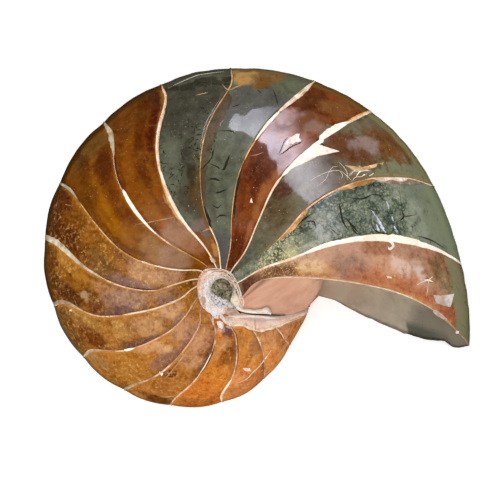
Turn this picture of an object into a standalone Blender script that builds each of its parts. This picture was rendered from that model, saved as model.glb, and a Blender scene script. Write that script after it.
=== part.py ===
"""Half of a polished fossil nautilus, lying on its flat cut face.

The shell was sawn along its middle plane. The cut face is at z = 0 and the
domed flank faces up. Lengths are metres and angles are degrees from +X,
growing back along the coil, from the last septum towards the first ones.
"""

import math

import bmesh
import bpy
from mathutils import Matrix, Vector

# Outer edge of the cut face: a growth spiral, which swells and narrows a little
COIL_CENTRE = Vector((-0.0120, -0.0094))
COIL_RADIUS = 0.0608
COIL_RATE = 0.1537
SWELL_ANGLES = (-14, 8, 40, 84, 130, 210, 275, 290, 318, 331, 344)
SWELL_SHARES = (0.008, -0.007, 0.018, 0.012, -0.006, -0.007, 0.014, 0.014, -0.018, -0.010, 0.036)

# Dome: height of the flank as a share of the coil radius, and where it peaks
# between the umbilicus and the outer edge
HALF_WIDTH = 0.42
CREST_SHARE = 0.25
EDGE_ROUNDNESS = 2.2
SHOULDER_DROP = 0.28

# Umbilicus: the round pit at the middle of the flank, with its stone plug
UMBILICUS_CENTRE = Vector((-0.0084, -0.0121))
UMBILICUS_RADIUS = 0.0052
PLUG_RADIUS = 0.0027
PLUG_HEIGHT = 0.0090

# Septa: the angle where each one crosses the middle of the flank, and how far
# it sweeps forward or back at the stations between umbilicus and outer edge.
# The sweep passes from the last septum's own to the common one in SWEEP_SETTLES septa.
STATIONS = (0.0, 0.1, 0.25, 0.45, 0.7, 1.0)
SEPTUM_ANGLES = (2.6, 19, 39, 58, 77, 97, 117, 137, 160, 182, 200, 223, 245, 267, 290, 310, 327)
SEPTUM_SWEEP = (-18.0, -9.0, -0.5, 0.0, -6.5, -14.0)
RIM_SWEEP = (-14.0, 10.0, 5.0, 0.0, -5.5, -17.3)
SWEEP_SETTLES = 7

# Each chamber stands a little proud between its two septa, less so near the last one
CHAMBER_BULGE = 0.010
BULGE_SETTLES = 7

# Where the last septum sits on the whorl below it: angles of its lower edge
SEAT_ANGLES = (307.0, 313.0, 322.0, 330.0, 336.0, 344.0)
SEAT_GAP = 2.0

# Line where the last septum folds over the outer edge of the whorl below
FOLD_STATIONS = (0.0, 0.25, 0.5, 0.75, 0.9, 1.0)
FOLD_LINE = (
    Vector((-0.0039, -0.0147, 0.0115)),
    Vector((0.0063, -0.0067, 0.0120)),
    Vector((0.0129, -0.0067, 0.0090)),
    Vector((0.0157, -0.0093, 0.0045)),
    Vector((0.0152, -0.0116, 0.0015)),
    Vector((0.0141, -0.0136, 0.0000)),
)
SEAT_SAG = 0.0012

# How far the last septum is hollowed back behind its own edge
HOLLOW_STATIONS = (0.0, 0.1, 0.25, 0.5, 0.75, 0.9, 1.0)
HOLLOW_DEPTHS = (0.0, 0.0025, 0.0045, 0.0055, 0.0050, 0.0032, 0.0)

# Broken lip of the last septum on the cut face: how far it stands off a straight line
LIP_STATIONS = (0.0, 0.12, 0.22, 0.35, 0.6, 0.73, 0.84, 0.9, 1.0)
LIP_OFFSETS = (0.0, 0.0002, -0.0006, -0.0013, -0.0020, -0.0017, -0.0009, -0.0016, 0.0)
LIP_SHARE = 0.15

# Fineness of the faceted surface
CHAMBER_COLUMNS = 5
SEAT_COLUMNS = 6
HOLLOW_COLUMNS = 14
EDGE_RINGS = 14
SHOULDER_RINGS = 5
PIT_RINGS = 3

AMBER = (0.42, 0.20, 0.05, 1.0)
SHARP_ANGLE = 40.0
MERGE_DISTANCE = 0.000001


def smooth_through(stations, values, at):
    """Value at one place of a smooth curve that passes through every station."""
    last = len(stations) - 1
    index = 0
    while index < last - 1 and at > stations[index + 1]:
        index += 1

    def slope(i):
        low = max(i - 1, 0)
        high = min(i + 1, last)
        return (values[high] - values[low]) / (stations[high] - stations[low])

    span = stations[index + 1] - stations[index]
    part = (at - stations[index]) / span
    rise = values[index + 1] - values[index]
    ease = part * part * (3.0 - 2.0 * part)
    start = part * (1.0 - part) ** 2
    end = part * part * (part - 1.0)
    return values[index] + rise * ease + (slope(index) * start + slope(index + 1) * end) * span


def growth(angle):
    """How much of its size the coil still has at this angle back along it."""
    return math.exp(-COIL_RATE * math.radians(angle))


def coil_radius(angle):
    """Distance from the coil's centre to the outer edge."""
    return COIL_RADIUS * growth(angle) * (1.0 + smooth_through(SWELL_ANGLES, SWELL_SHARES, angle))


def height_share(out):
    """Share of the crest's height at a place between umbilicus (0) and outer edge (1)."""
    if out < CREST_SHARE:
        return 1.0 - SHOULDER_DROP * (1.0 - out / CREST_SHARE) ** 2
    reach = min((out - CREST_SHARE) / (1.0 - CREST_SHARE), 1.0)
    return math.sqrt(1.0 - reach ** EDGE_ROUNDNESS)


def flank_point(angle, out, bulge=0.0):
    """A point of the domed flank, on the ray at this angle."""
    ray = Vector((math.cos(math.radians(angle)), math.sin(math.radians(angle))))
    inner = UMBILICUS_CENTRE + ray * UMBILICUS_RADIUS
    outer = COIL_CENTRE + ray * coil_radius(angle) * (1.0 + bulge)
    flat = inner.lerp(outer, out)
    height = HALF_WIDTH * COIL_RADIUS * growth(angle) * height_share(out) * (1.0 + bulge)
    return Vector((flat.x, flat.y, height))


def septum_angle(number, out):
    """Angle of a septum's edge. One past the last number is the seat of the last septum."""
    seat = smooth_through(STATIONS, SEAT_ANGLES, out)
    to_seat = len(SEPTUM_ANGLES) - number
    if to_seat == 0:
        return seat
    settled = min(number / SWEEP_SETTLES, 1.0)
    last = smooth_through(STATIONS, RIM_SWEEP, out)
    common = smooth_through(STATIONS, SEPTUM_SWEEP, out)
    angle = SEPTUM_ANGLES[number] + last + (common - last) * settled
    return min(angle, seat - SEAT_GAP * to_seat)


def chamber_point(column, out):
    """A point of the flank, counted in columns back from the last septum."""
    number, step = divmod(column, CHAMBER_COLUMNS)
    if number == len(SEPTUM_ANGLES):
        return flank_point(septum_angle(number, out), out)
    across = step / CHAMBER_COLUMNS
    front = septum_angle(number, out)
    angle = front + (septum_angle(number + 1, out) - front) * across
    fullness = CHAMBER_BULGE * min((number + 1) / BULGE_SETTLES, 1.0)
    return flank_point(angle, out, fullness * math.sin(math.pi * across) * out)


def seat_point(across, out):
    """A point of the last septum between its seat and its fold."""
    seat = flank_point(septum_angle(len(SEPTUM_ANGLES), out), out)
    fold = smooth_through(FOLD_STATIONS, FOLD_LINE, out)
    point = seat.lerp(fold, across)
    point.z -= SEAT_SAG * math.sin(math.pi * across) * math.sin(math.pi * out)
    return point


def hollow_point(across, out):
    """A point of the last septum between its fold and its free edge."""
    fold = smooth_through(FOLD_STATIONS, FOLD_LINE, out)
    edge = flank_point(septum_angle(0, out), out)
    point = fold.lerp(edge, across)
    point.y += smooth_through(HOLLOW_STATIONS, HOLLOW_DEPTHS, out) * 4.0 * across * (1.0 - across)
    lip = max((out - 1.0 + LIP_SHARE) / LIP_SHARE, 0.0)
    point.y += smooth_through(LIP_STATIONS, LIP_OFFSETS, across) * lip * lip
    return point


def ring_point(column, out):
    """A point of the ring that runs once round the shell at this distance out."""
    flank_columns = len(SEPTUM_ANGLES) * CHAMBER_COLUMNS
    if column <= flank_columns:
        return chamber_point(column, out)
    column -= flank_columns
    if column <= SEAT_COLUMNS:
        return seat_point(column / SEAT_COLUMNS, out)
    return hollow_point((column - SEAT_COLUMNS) / HOLLOW_COLUMNS, out)


def pit_point(column, depth):
    """A point of the pit's wall, from its rim (0) down to the edge of the plug (1)."""
    rim = ring_point(column, 0.0)
    centre = Vector((UMBILICUS_CENTRE.x, UMBILICUS_CENTRE.y, PLUG_HEIGHT))
    outward = Vector((rim.x - centre.x, rim.y - centre.y, 0.0)).normalized()
    return rim.lerp(centre + outward * PLUG_RADIUS, depth)


def ring_places():
    """Distances out of the rings, from the outer edge in to the pit's rim."""
    edge = [math.cos(math.pi / 2.0 * i / EDGE_RINGS) for i in range(EDGE_RINGS)]
    rings = [CREST_SHARE + (1.0 - CREST_SHARE) * share for share in edge]
    rings += [CREST_SHARE * (1.0 - i / SHOULDER_RINGS) for i in range(SHOULDER_RINGS + 1)]
    return rings


def shell_surface():
    """The whole outside of the half: one grid bent round the coil, then closed."""
    columns = len(SEPTUM_ANGLES) * CHAMBER_COLUMNS + SEAT_COLUMNS + HOLLOW_COLUMNS
    places = ring_places()
    rows = len(places) - 1 + PIT_RINGS
    surface = bmesh.new()
    unit_square = Matrix.Translation((0.5, 0.5, 0.0))
    bmesh.ops.create_grid(surface, x_segments=columns, y_segments=rows, size=0.5, matrix=unit_square)
    for vertex in surface.verts:
        column = round(vertex.co.x * columns)
        row = round(vertex.co.y * rows)
        if row < len(places):
            vertex.co = ring_point(column, places[row])
        else:
            vertex.co = pit_point(column, (row - len(places) + 1) / PIT_RINGS)
    bmesh.ops.remove_doubles(surface, verts=surface.verts, dist=MERGE_DISTANCE)
    open_edges = [edge for edge in surface.edges if edge.is_boundary]
    bmesh.ops.holes_fill(surface, edges=open_edges, sides=0)
    bmesh.ops.triangulate(surface, faces=surface.faces)
    bmesh.ops.recalc_face_normals(surface, faces=surface.faces)
    return surface


def polished_stone():
    """Calcite-filled shell, ground smooth and polished."""
    material = bpy.data.materials.new("polished_fossil")
    material.use_nodes = True
    shader = material.node_tree.nodes["Principled BSDF"]
    shader.inputs["Base Color"].default_value = AMBER
    shader.inputs["Roughness"].default_value = 0.15
    shader.inputs["Metallic"].default_value = 0.0
    return material


def nautilus_half():
    """The whole object: one solid piece of filled shell."""
    surface = shell_surface()
    mesh = bpy.data.meshes.new("nautilus_half")
    surface.to_mesh(mesh)
    surface.free()
    mesh.shade_smooth()
    mesh.set_sharp_from_angle(angle=math.radians(SHARP_ANGLE))
    mesh.materials.append(polished_stone())
    half = bpy.data.objects.new("nautilus_half", mesh)
    bpy.context.scene.collection.objects.link(half)


for leftover in list(bpy.data.objects):
    bpy.data.objects.remove(leftover)
nautilus_half()
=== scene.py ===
"""Half of a polished fossil nautilus, lying on its sawn face on a pale table."""

from collections import namedtuple
from functools import lru_cache
import math
import random

import bmesh
import bpy
from mathutils import Matrix, Vector, noise
from mathutils.bvhtree import BVHTree


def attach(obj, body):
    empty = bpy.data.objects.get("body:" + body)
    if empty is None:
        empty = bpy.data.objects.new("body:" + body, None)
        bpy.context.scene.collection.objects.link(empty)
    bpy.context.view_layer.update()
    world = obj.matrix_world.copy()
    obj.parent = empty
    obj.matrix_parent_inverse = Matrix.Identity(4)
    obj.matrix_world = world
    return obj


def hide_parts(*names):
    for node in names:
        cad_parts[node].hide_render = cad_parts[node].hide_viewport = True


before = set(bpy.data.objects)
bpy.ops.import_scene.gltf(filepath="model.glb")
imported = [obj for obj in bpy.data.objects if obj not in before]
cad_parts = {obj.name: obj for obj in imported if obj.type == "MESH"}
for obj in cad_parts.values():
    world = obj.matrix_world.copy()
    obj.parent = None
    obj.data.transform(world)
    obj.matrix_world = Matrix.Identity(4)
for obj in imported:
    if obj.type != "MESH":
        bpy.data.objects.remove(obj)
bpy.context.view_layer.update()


# Chamber fillings. Calcite and mudstone filled the shell's closed chambers and set
# hard. The shell was then sawn along its middle, ground until the fillings showed
# and polished, so each filling has a domed side on the flank and a flat cut side.

COIL_CENTRE = Vector((-0.0120, -0.0094))
COIL_RADIUS = 0.0608
COIL_RATE = 0.1537
SWELL_ANGLES = (-14, 8, 40, 84, 130, 210, 275, 290, 318, 331, 344, 420)
SWELL_SHARES = (0.008, -0.007, 0.018, 0.012, -0.006, -0.007, 0.014, 0.014, -0.018, -0.010, 0.036, 0.0)
HALF_WIDTH = 0.42
CREST_SHARE = 0.25
EDGE_ROUNDNESS = 2.2
SHOULDER_DROP = 0.28
UMBILICUS_CENTRE = Vector((-0.0084, -0.0121))
UMBILICUS_RADIUS = 0.0052
UMBILICUS_ANGLES = (-16, 4, 28, 58, 90, 112, 128, 146, 163, 190, 205, 224, 250, 272, 292, 308, 345)
UMBILICUS_SHARES = (
    1.0, 0.86, 0.83, 0.90, 0.94, 1.03, 1.14, 1.13, 1.07, 1.02, 1.05, 1.12, 1.15, 1.12, 1.04, 1.0, 1.0,
)
TURN = 360.0

# Angle of the last septum's edge, back along the coil, at stations from the
# umbilicus (0) to the outer edge (1)
LAST_STATIONS = (0.0, 0.031, 0.056, 0.080, 0.104, 0.19, 0.26, 0.39, 0.51, 0.64, 0.78, 0.9, 1.0)
LAST_ANGLES = (-15.0, 0.5, 8.2, 11.2, 12.2, 9.9, 7.1, 3.4, 0.5, -2.3, -6.0, -10.5, -14.5)

# The same for the older septa at seven stations. The last row is the line where
# the last septum sits on the whorl below.
STATIONS = (0.0, 0.1, 0.25, 0.45, 0.7, 0.9, 1.0)
SEPTA = (
    (23.0, 25.0, 21.0, 19.0, 13.5, 7.0, 3.0),
    (51.0, 41.0, 37.5, 39.0, 34.0, 26.5, 21.5),
    (60.0, 54.5, 57.0, 58.0, 52.5, 47.5, 45.0),
    (75.0, 74.0, 77.5, 77.0, 70.5, 63.5, 61.0),
    (89.0, 90.5, 98.0, 97.0, 91.0, 83.0, 83.0),
    (100.0, 107.0, 115.5, 116.5, 111.0, 103.0, 103.0),
    (118.0, 130.0, 137.5, 137.5, 131.5, 123.0, 123.0),
    (134.5, 152.5, 160.5, 160.5, 152.5, 147.0, 147.0),
    (154.5, 170.5, 182.5, 182.0, 174.5, 167.0, 166.0),
    (171.5, 192.5, 199.5, 200.0, 197.5, 190.0, 190.5),
    (198.5, 216.5, 224.0, 223.5, 219.0, 211.5, 213.0),
    (220.0, 240.0, 245.0, 245.0, 241.5, 236.0, 234.0),
    (242.5, 262.0, 268.5, 267.0, 261.5, 255.5, 254.5),
    (272.0, 283.0, 291.0, 290.0, 285.0, 277.5, 277.5),
    (291.0, 302.0, 309.5, 310.5, 307.5, 303.0, 300.0),
    (303.0, 309.0, 318.0, 325.0, 325.0, 322.0, 321.5),
    (307.0, 313.0, 322.0, 330.0, 336.0, 341.0, 344.0),
)
SEAT = len(SEPTA)

CHAMBER_BULGE = 0.010
FLUSH_CHAMBERS = 3
BULGE_SETTLES = 4.0
POLISH_WAVE = 0.00005
POLISH_GRAIN = 0.014
POLISH_FADES = 0.004
RIM_WEAR = 0.00016
RIM_GRAIN = 0.0021
RIM_DEGREE = 0.001

# On the cut face each septum bows back from the outer wall to the inner one
SECTION_BOWS = (0.0, 5.0, 8.0, 11.0)
SECTION_LEAN = 4.0
INNER_SPACING = 20.0
LAST_WHORL = 1100.0
CUT_RECESS = 0.00003
RECESS_STEEP = 10.0
LIP_TUCK = 0.00015


def smooth_through(stations, values, at):
    """Value at one place of a smooth curve that passes through every station."""
    last = len(stations) - 1
    at = min(max(at, stations[0]), stations[last])
    index = 0
    while index < last - 1 and at > stations[index + 1]:
        index += 1

    def slope(i):
        low = max(i - 1, 0)
        high = min(i + 1, last)
        return (values[high] - values[low]) / (stations[high] - stations[low])

    span = stations[index + 1] - stations[index]
    part = (at - stations[index]) / span
    rise = values[index + 1] - values[index]
    ease = part * part * (3.0 - 2.0 * part)
    start = part * (1.0 - part) ** 2
    end = part * part * (part - 1.0)
    return values[index] + rise * ease + (slope(index) * start + slope(index + 1) * end) * span


def mix(first, second, share):
    """The value this share of the way from the first to the second."""
    return first + (second - first) * share


def ray(angle):
    """Unit vector in the plane of the coil."""
    return Vector((math.cos(math.radians(angle)), math.sin(math.radians(angle))))


def growth(angle):
    """How much of its size the coil still has at this angle back along it."""
    return math.exp(-COIL_RATE * math.radians(angle))


def coil_radius(angle):
    """Distance from the coil's centre to the outer edge, which is slightly worn."""
    wear = RIM_WEAR * noise.noise(Vector((angle * growth(angle), 0.0, 0.0)) * RIM_DEGREE / RIM_GRAIN)
    return COIL_RADIUS * growth(angle) * (1.0 + smooth_through(SWELL_ANGLES, SWELL_SHARES, angle)) + wear


def height_share(out):
    """Share of the crest's height at a place between umbilicus (0) and outer edge (1)."""
    if out < CREST_SHARE:
        return 1.0 - SHOULDER_DROP * (1.0 - out / CREST_SHARE) ** 2
    reach = min((out - CREST_SHARE) / (1.0 - CREST_SHARE), 1.0)
    return math.sqrt(1.0 - reach ** EDGE_ROUNDNESS)


def umbilicus_radius(angle):
    """Distance from the umbilicus' centre to its rim, which is a little egg-shaped."""
    return UMBILICUS_RADIUS * smooth_through(UMBILICUS_ANGLES, UMBILICUS_SHARES, angle)


def flank_place(angle, out, bulge=0.0):
    """A point of the domed flank, a little wavy as hand polishing leaves it."""
    inner = UMBILICUS_CENTRE + ray(angle) * umbilicus_radius(angle)
    outer = COIL_CENTRE + ray(angle) * coil_radius(angle) * (1.0 + bulge)
    flat = inner.lerp(outer, out)
    height = HALF_WIDTH * COIL_RADIUS * growth(angle) * height_share(out) * (1.0 + bulge)
    point = Vector((flat.x, flat.y, height))
    point.z += POLISH_WAVE * noise.noise(point / POLISH_GRAIN) * min(height / POLISH_FADES, 1.0)
    return point


def septum_angle(number, out):
    """Angle of a septum's edge on the flank. SEAT is the seat of the last septum."""
    if number == 0:
        return smooth_through(LAST_STATIONS, LAST_ANGLES, out)
    if number <= SEAT:
        return smooth_through(STATIONS, SEPTA[number - 1], out)
    return SEPTA[-1][-1] + INNER_SPACING * (number - SEAT)


def section_bow(number):
    """How far a septum bows back on the cut face, in degrees."""
    return SECTION_BOWS[min(number, len(SECTION_BOWS) - 1)]


def section_place(angle, depth, bulge=0.0):
    """A point of the cut face, from the outer wall (0) to the inner wall (1) of a whorl."""
    outer = coil_radius(angle) * (1.0 + bulge)
    inner = coil_radius(angle + TURN) if angle < LAST_WHORL else 0.0
    flat = COIL_CENTRE + ray(angle) * mix(outer, inner, depth)
    return Vector((flat.x, flat.y, CUT_RECESS * min(depth * RECESS_STEEP, 1.0)))


# The last septum folds over the outer edge of the whorl below along this line,
# and ends on the cut face in a broken lip
FOLD_STATIONS = (0.0, 0.25, 0.5, 0.75, 0.9, 1.0)
FOLD_LINE = (
    Vector((-0.0039, -0.0147, 0.0115)),
    Vector((0.0063, -0.0067, 0.0120)),
    Vector((0.0129, -0.0067, 0.0090)),
    Vector((0.0157, -0.0093, 0.0045)),
    Vector((0.0152, -0.0116, 0.0015)),
    Vector((0.0141, -0.0136, 0.0000)),
)
SEAT_SAG = 0.0012
HOLLOW_STATIONS = (0.0, 0.1, 0.25, 0.5, 0.75, 0.9, 1.0)
HOLLOW_DEPTHS = (0.0, 0.0025, 0.0045, 0.0055, 0.0050, 0.0032, 0.0)
LIP_STATIONS = (0.0, 0.12, 0.22, 0.35, 0.6, 0.73, 0.84, 0.9, 1.0)
LIP_OFFSETS = (0.0, 0.0002, -0.0006, -0.0013, -0.0020, -0.0017, -0.0009, -0.0016, 0.0)
LIP_SHARE = 0.15
LIP_CHIPS = 0.00045
LIP_CHIP_GRAIN = 0.0013
FOLD_SHARE = 0.93


def seat_place(across, out):
    """A point of the last septum between its seat and its fold."""
    seat = flank_place(septum_angle(SEAT, out), out)
    fold = smooth_through(FOLD_STATIONS, FOLD_LINE, out)
    point = seat.lerp(fold, across)
    point.z -= SEAT_SAG * math.sin(math.pi * across) * math.sin(math.pi * out)
    return point


def hollow_place(across, out):
    """A point of the last septum between its fold and its free edge."""
    fold = smooth_through(FOLD_STATIONS, FOLD_LINE, out)
    edge = flank_place(septum_angle(0, out), out)
    point = fold.lerp(edge, across)
    point.y += smooth_through(HOLLOW_STATIONS, HOLLOW_DEPTHS, out) * 4.0 * across * (1.0 - across)
    lip = max((out - 1.0 + LIP_SHARE) / LIP_SHARE, 0.0)
    chips = LIP_CHIPS * noise.noise(point / LIP_CHIP_GRAIN) * math.sin(math.pi * across)
    point.y += (smooth_through(LIP_STATIONS, LIP_OFFSETS, across) + chips) * lip * lip
    return point


def lip_place(share):
    """A point of the broken lip on the cut face, from the outer edge in to the seat."""
    if share < FOLD_SHARE:
        return hollow_place(1.0 - share / FOLD_SHARE, 1.0)
    return seat_place(1.0 - (share - FOLD_SHARE) / (1.0 - FOLD_SHARE), 1.0)


def section_line(number, share):
    """Angle and depth of a septum's line on the cut face. The lip is tucked in a little."""
    if number == 0:
        point = lip_place(share)
        offset = Vector((point.x, point.y + LIP_TUCK)) - COIL_CENTRE
        angle = math.degrees(math.atan2(offset.y, offset.x))
        outer = coil_radius(angle)
        return angle, max((outer - offset.length) / (outer - coil_radius(angle + TURN)), 0.0)
    angle = septum_angle(number, 1.0) + section_bow(number) * 4.0 * share * (1.0 - share)
    return angle + SECTION_LEAN * share, share


def filling_place(number, across, reach):
    """A point of one filling: on the flank for reach 0 to 1, on the cut face for 1 to 2."""
    settled = min(max((number - FLUSH_CHAMBERS) / BULGE_SETTLES, 0.0), 1.0)
    fullness = CHAMBER_BULGE * settled * math.sin(math.pi * across)
    if reach <= 1.0:
        angle = mix(septum_angle(number, reach), septum_angle(number + 1, reach), across)
        return flank_place(angle, reach, fullness * reach)
    front_angle, front_depth = section_line(number, reach - 1.0)
    back_angle, back_depth = section_line(number + 1, reach - 1.0)
    angle = mix(front_angle, back_angle, across)
    return section_place(angle, mix(front_depth, back_depth, across), fullness)


def bent_grid(columns, rows, place):
    """A square grid bent to shape. place(column, row) gives a point and its chart place."""
    mesh = bmesh.new()
    chart = mesh.loops.layers.uv.new("surface")
    unit_square = Matrix.Translation((0.5, 0.5, 0.0))
    bmesh.ops.create_grid(mesh, x_segments=columns, y_segments=rows, size=0.5, matrix=unit_square)
    placed = {}
    for vertex in mesh.verts:
        placed[vertex] = place(round(vertex.co.x * columns), round(vertex.co.y * rows))
    for face in mesh.faces:
        for loop in face.loops:
            loop[chart].uv = placed[loop.vert][1]
    for vertex in mesh.verts:
        vertex.co = placed[vertex][0]
    return mesh


SHARP_ANGLE = 42.0
MERGE_DISTANCE = 0.000002
SKY = 0.05
tops = []


def top_of(flat):
    """Height of the surface made so far above a point of the table."""
    height = 0.0
    for tree in tops:
        spot = tree.ray_cast(Vector((flat.x, flat.y, SKY)), Vector((0.0, 0.0, -1.0)))[0]
        if spot:
            height = max(height, spot.z)
    return height


def join_in(mesh, other, slot=0):
    """Adds the faces of another mesh to this one, with the finish in this slot."""
    for face in other.faces:
        face.material_index = slot
    carrier = bpy.data.meshes.new("carrier")
    other.to_mesh(carrier)
    other.free()
    mesh.from_mesh(carrier)
    bpy.data.meshes.remove(carrier)


def lumps_at(point, layers, start=0.0):
    """Unevenness at a point: a start, and layers of strength and grain added to it."""
    return sum((strength * noise.noise(point / grain) for strength, grain in layers), start)


def merge_seams(mesh):
    """Joins the points that lie on each other, where a grid's sides meet."""
    bmesh.ops.remove_doubles(mesh, verts=mesh.verts, dist=MERGE_DISTANCE)


def closed_grid(columns, rows, place):
    """A bent grid with its seams merged and its open ends filled, so that it is solid."""
    mesh = bent_grid(columns, rows, place)
    merge_seams(mesh)
    open_edges = [edge for edge in mesh.edges if edge.is_boundary]
    bmesh.ops.holes_fill(mesh, edges=open_edges, sides=0)
    bmesh.ops.recalc_face_normals(mesh, faces=mesh.faces)
    return mesh


def in_scene(name, data):
    """A new object of the scene that shows this data."""
    made = bpy.data.objects.new(name, data)
    bpy.context.scene.collection.objects.link(made)
    return made


def finished_piece(name, mesh, finishes, thickness=0.0):
    """Makes a piece of the half from its mesh, thickened inward if it is a sheet."""
    data = bpy.data.meshes.new(name)
    tops.append(BVHTree.FromBMesh(mesh))
    mesh.to_mesh(data)
    mesh.free()
    data.shade_smooth()
    data.set_sharp_from_angle(angle=math.radians(SHARP_ANGLE))
    for finish in finishes:
        data.materials.append(finish.material)
    piece = in_scene(name, data)
    if thickness > 0.0:
        wall = piece.modifiers.new("wall", "SOLIDIFY")
        wall.thickness = thickness
        wall.offset = -1.0
    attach(piece, "root")
    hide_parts("nautilus_half")


class Wire:
    """One socket of a finish. Sums written with wires become Math nodes."""

    def __init__(self, tree, socket):
        self.tree = tree
        self.socket = socket

    def math(self, operation, *values):
        node = self.tree.nodes.new("ShaderNodeMath")
        node.operation = operation
        for socket, value in zip(node.inputs, values):
            if isinstance(value, Wire):
                self.tree.links.new(value.socket, socket)
            else:
                socket.default_value = value
        return Wire(self.tree, node.outputs[0])

    def __add__(self, other):
        return self.math("ADD", self, other)

    def __sub__(self, other):
        return self.math("SUBTRACT", self, other)

    def __mul__(self, other):
        return self.math("MULTIPLY", self, other)

    def __abs__(self):
        return self.math("ABSOLUTE", self)

    def sine(self):
        return self.math("SINE", self)


COAT_ROUGHNESS = 0.06
SPECULAR = 0.10


class Finish:
    """A finish of the half: one glossy shader and the nodes that feed it."""

    def __init__(self, name, roughness, polish):
        self.material = bpy.data.materials.new(name)
        self.material.use_nodes = True
        self.tree = self.material.node_tree
        self.shader = self.tree.nodes["Principled BSDF"]
        self.hold("Roughness", roughness)
        self.hold("Coat Weight", polish)
        self.hold("Coat Roughness", COAT_ROUGHNESS)
        self.hold("Specular IOR Level", SPECULAR)

    def hold(self, socket, value):
        """Sets one value of the shader."""
        self.shader.inputs[socket].default_value = value

    def node(self, kind, settings, inputs, output=0):
        """Adds a node, sets it, then gives its sockets their values or links."""
        node = self.tree.nodes.new(kind)
        for name, value in settings.items():
            setattr(node, name, value)
        for place, value in inputs.items():
            if isinstance(value, Wire):
                self.tree.links.new(value.socket, node.inputs[place])
            else:
                node.inputs[place].default_value = value
        return Wire(self.tree, node.outputs[output])

    def feed(self, socket, wire):
        """Links a wire to the shader."""
        self.tree.links.new(wire.socket, self.shader.inputs[socket])

    def vector(self, operation, *values, output=0):
        """Vector sum of wires and plain triples."""
        return self.node("ShaderNodeVectorMath", {"operation": operation}, dict(enumerate(values)), output)

    def part(self, wire, axis):
        """One number of a vector."""
        return self.node("ShaderNodeSeparateXYZ", {}, {0: wire}, axis)

    def parts(self, wire):
        """The first two numbers of a vector."""
        return self.part(wire, "X"), self.part(wire, "Y")

    def chart(self):
        """Chart place on the piece: back from the front septum, and out from the umbilicus."""
        return self.node("ShaderNodeUVMap", {"uv_map": "surface"}, {})

    def stone_place(self):
        """Place in the stone, in metres."""
        return self.node("ShaderNodeTexCoord", {}, {}, "Object")

    def noise_at(self, place, detail, roughness, output=0):
        """Cloudy variation of a place that is counted in grains, 0 to 1, about 0.5 on the whole."""
        inputs = {"Vector": place, "Scale": 1.0, "Detail": detail, "Roughness": roughness}
        return self.node("ShaderNodeTexNoise", {}, inputs, output)

    def grain_place(self, grain, seed):
        """Place in the stone, counted in grains."""
        size = 1.0 / grain
        spot = (seed * 3.1, seed * 1.7, seed * 2.3)
        inputs = {"Vector": self.stone_place(), "Location": spot, "Scale": (size, size, size)}
        return self.node("ShaderNodeMapping", {}, inputs)

    def cloud(self, grain, seed, detail, roughness, output=0):
        """Clouds of this grain in the stone."""
        return self.noise_at(self.grain_place(grain, seed), detail, roughness, output)

    def brushed(self, length, width, turn, seed):
        """Streaks of this length and width, turned this far from the X axis in degrees."""
        turned = {"Vector": self.stone_place(), "Rotation": (0.0, 0.0, math.radians(-turn))}
        place = self.node("ShaderNodeMapping", {}, turned)
        scale = (1.0 / length, 1.0 / width, 1.0 / width)
        sized = {"Vector": place, "Location": (seed, seed, 0.0), "Scale": scale}
        return self.noise_at(self.node("ShaderNodeMapping", {}, sized), 3.0, 0.55)

    def warped_chart(self, broad, broad_reach, fine, fine_reach, seed):
        """Chart place, bent a little so that what is laid out on it gets natural edges."""
        half = (0.5, 0.5, 0.5)
        bend = self.vector("SUBTRACT", self.cloud(broad, seed, 3.0, 0.6, "Color"), half)
        small_bend = self.vector("SUBTRACT", self.cloud(fine, seed + 3.0, 3.0, 0.6, "Color"), half)
        bent = self.vector("MULTIPLY_ADD", bend, broad_reach, self.chart())
        return self.vector("MULTIPLY_ADD", small_bend, fine_reach, bent)

    def patched(self, colour, place, patches):
        """Colour with patches laid over it. Each is a colour as on a screen and, in hundredths,
        its place across and out, its half sizes there, its strength and its softness."""
        for tint, *numbers in patches:
            across, out, wide, long, strength, softness = [number / 100.0 for number in numbers]
            sizes = (1.0 / wide, 1.0 / long, 0.0)
            spot = (-across / wide, -out / long, 0.0)
            distance = self.vector("LENGTH", self.vector("MULTIPLY_ADD", place, sizes, spot), output="Value")
            near = self.step(distance, 1.0 - softness * 0.5, 1.0 + softness * 0.5, strength, 0.0)
            colour = self.blend(near, colour, paint(*tint))
        return colour

    def streaks(self, chart, across, along, seed, detail):
        """Streaks that follow the chart: this many across the piece and along it."""
        place = self.vector("MULTIPLY_ADD", chart, (across, along, 0.0), (seed, seed * 0.7, seed * 1.3))
        return self.noise_at(place, detail, 0.55)

    def step(self, wire, low, high, start=0.0, end=1.0):
        """Smooth step from start to end as the wire goes from low to high."""
        inputs = {"Value": wire, "From Min": low, "From Max": high, "To Min": start, "To Max": end}
        return self.node("ShaderNodeMapRange", {"interpolation_type": "SMOOTHSTEP"}, inputs)

    def blend(self, share, first, second, way="MIX"):
        """Colour between two, by share."""
        settings = {"data_type": "RGBA", "blend_type": way, "clamp_factor": True}
        return self.node("ShaderNodeMix", settings, {0: share, 6: first, 7: second}, 2)

    def lay(self, colour, tint, wire, low, high, strength=1.0):
        """Colour with a tint laid over it, more and more as the wire goes from low to high."""
        return self.blend(self.step(wire, low, high, 0.0, strength), colour, tint)

    def deepen(self, share, colour, tint):
        """Colour taken deeper, as by a tinted glass, by share."""
        return self.blend(share, colour, tint, "MULTIPLY")

    def cracks(self, grain, seed, width, wobble):
        """Thin lines of a crack network, 1 on the line."""
        place = self.grain_place(grain, seed)
        bend = self.cloud(grain * 0.6, seed + 5.0, 4.0, 0.6, "Color")
        bent = self.vector("MULTIPLY_ADD", bend, (wobble, wobble, wobble), place)
        settings = {"feature": "DISTANCE_TO_EDGE"}
        edge = self.node("ShaderNodeTexVoronoi", settings, {"Vector": bent, "Scale": 1.0})
        return self.step(edge, 0.0, width, 1.0, 0.0)

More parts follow.
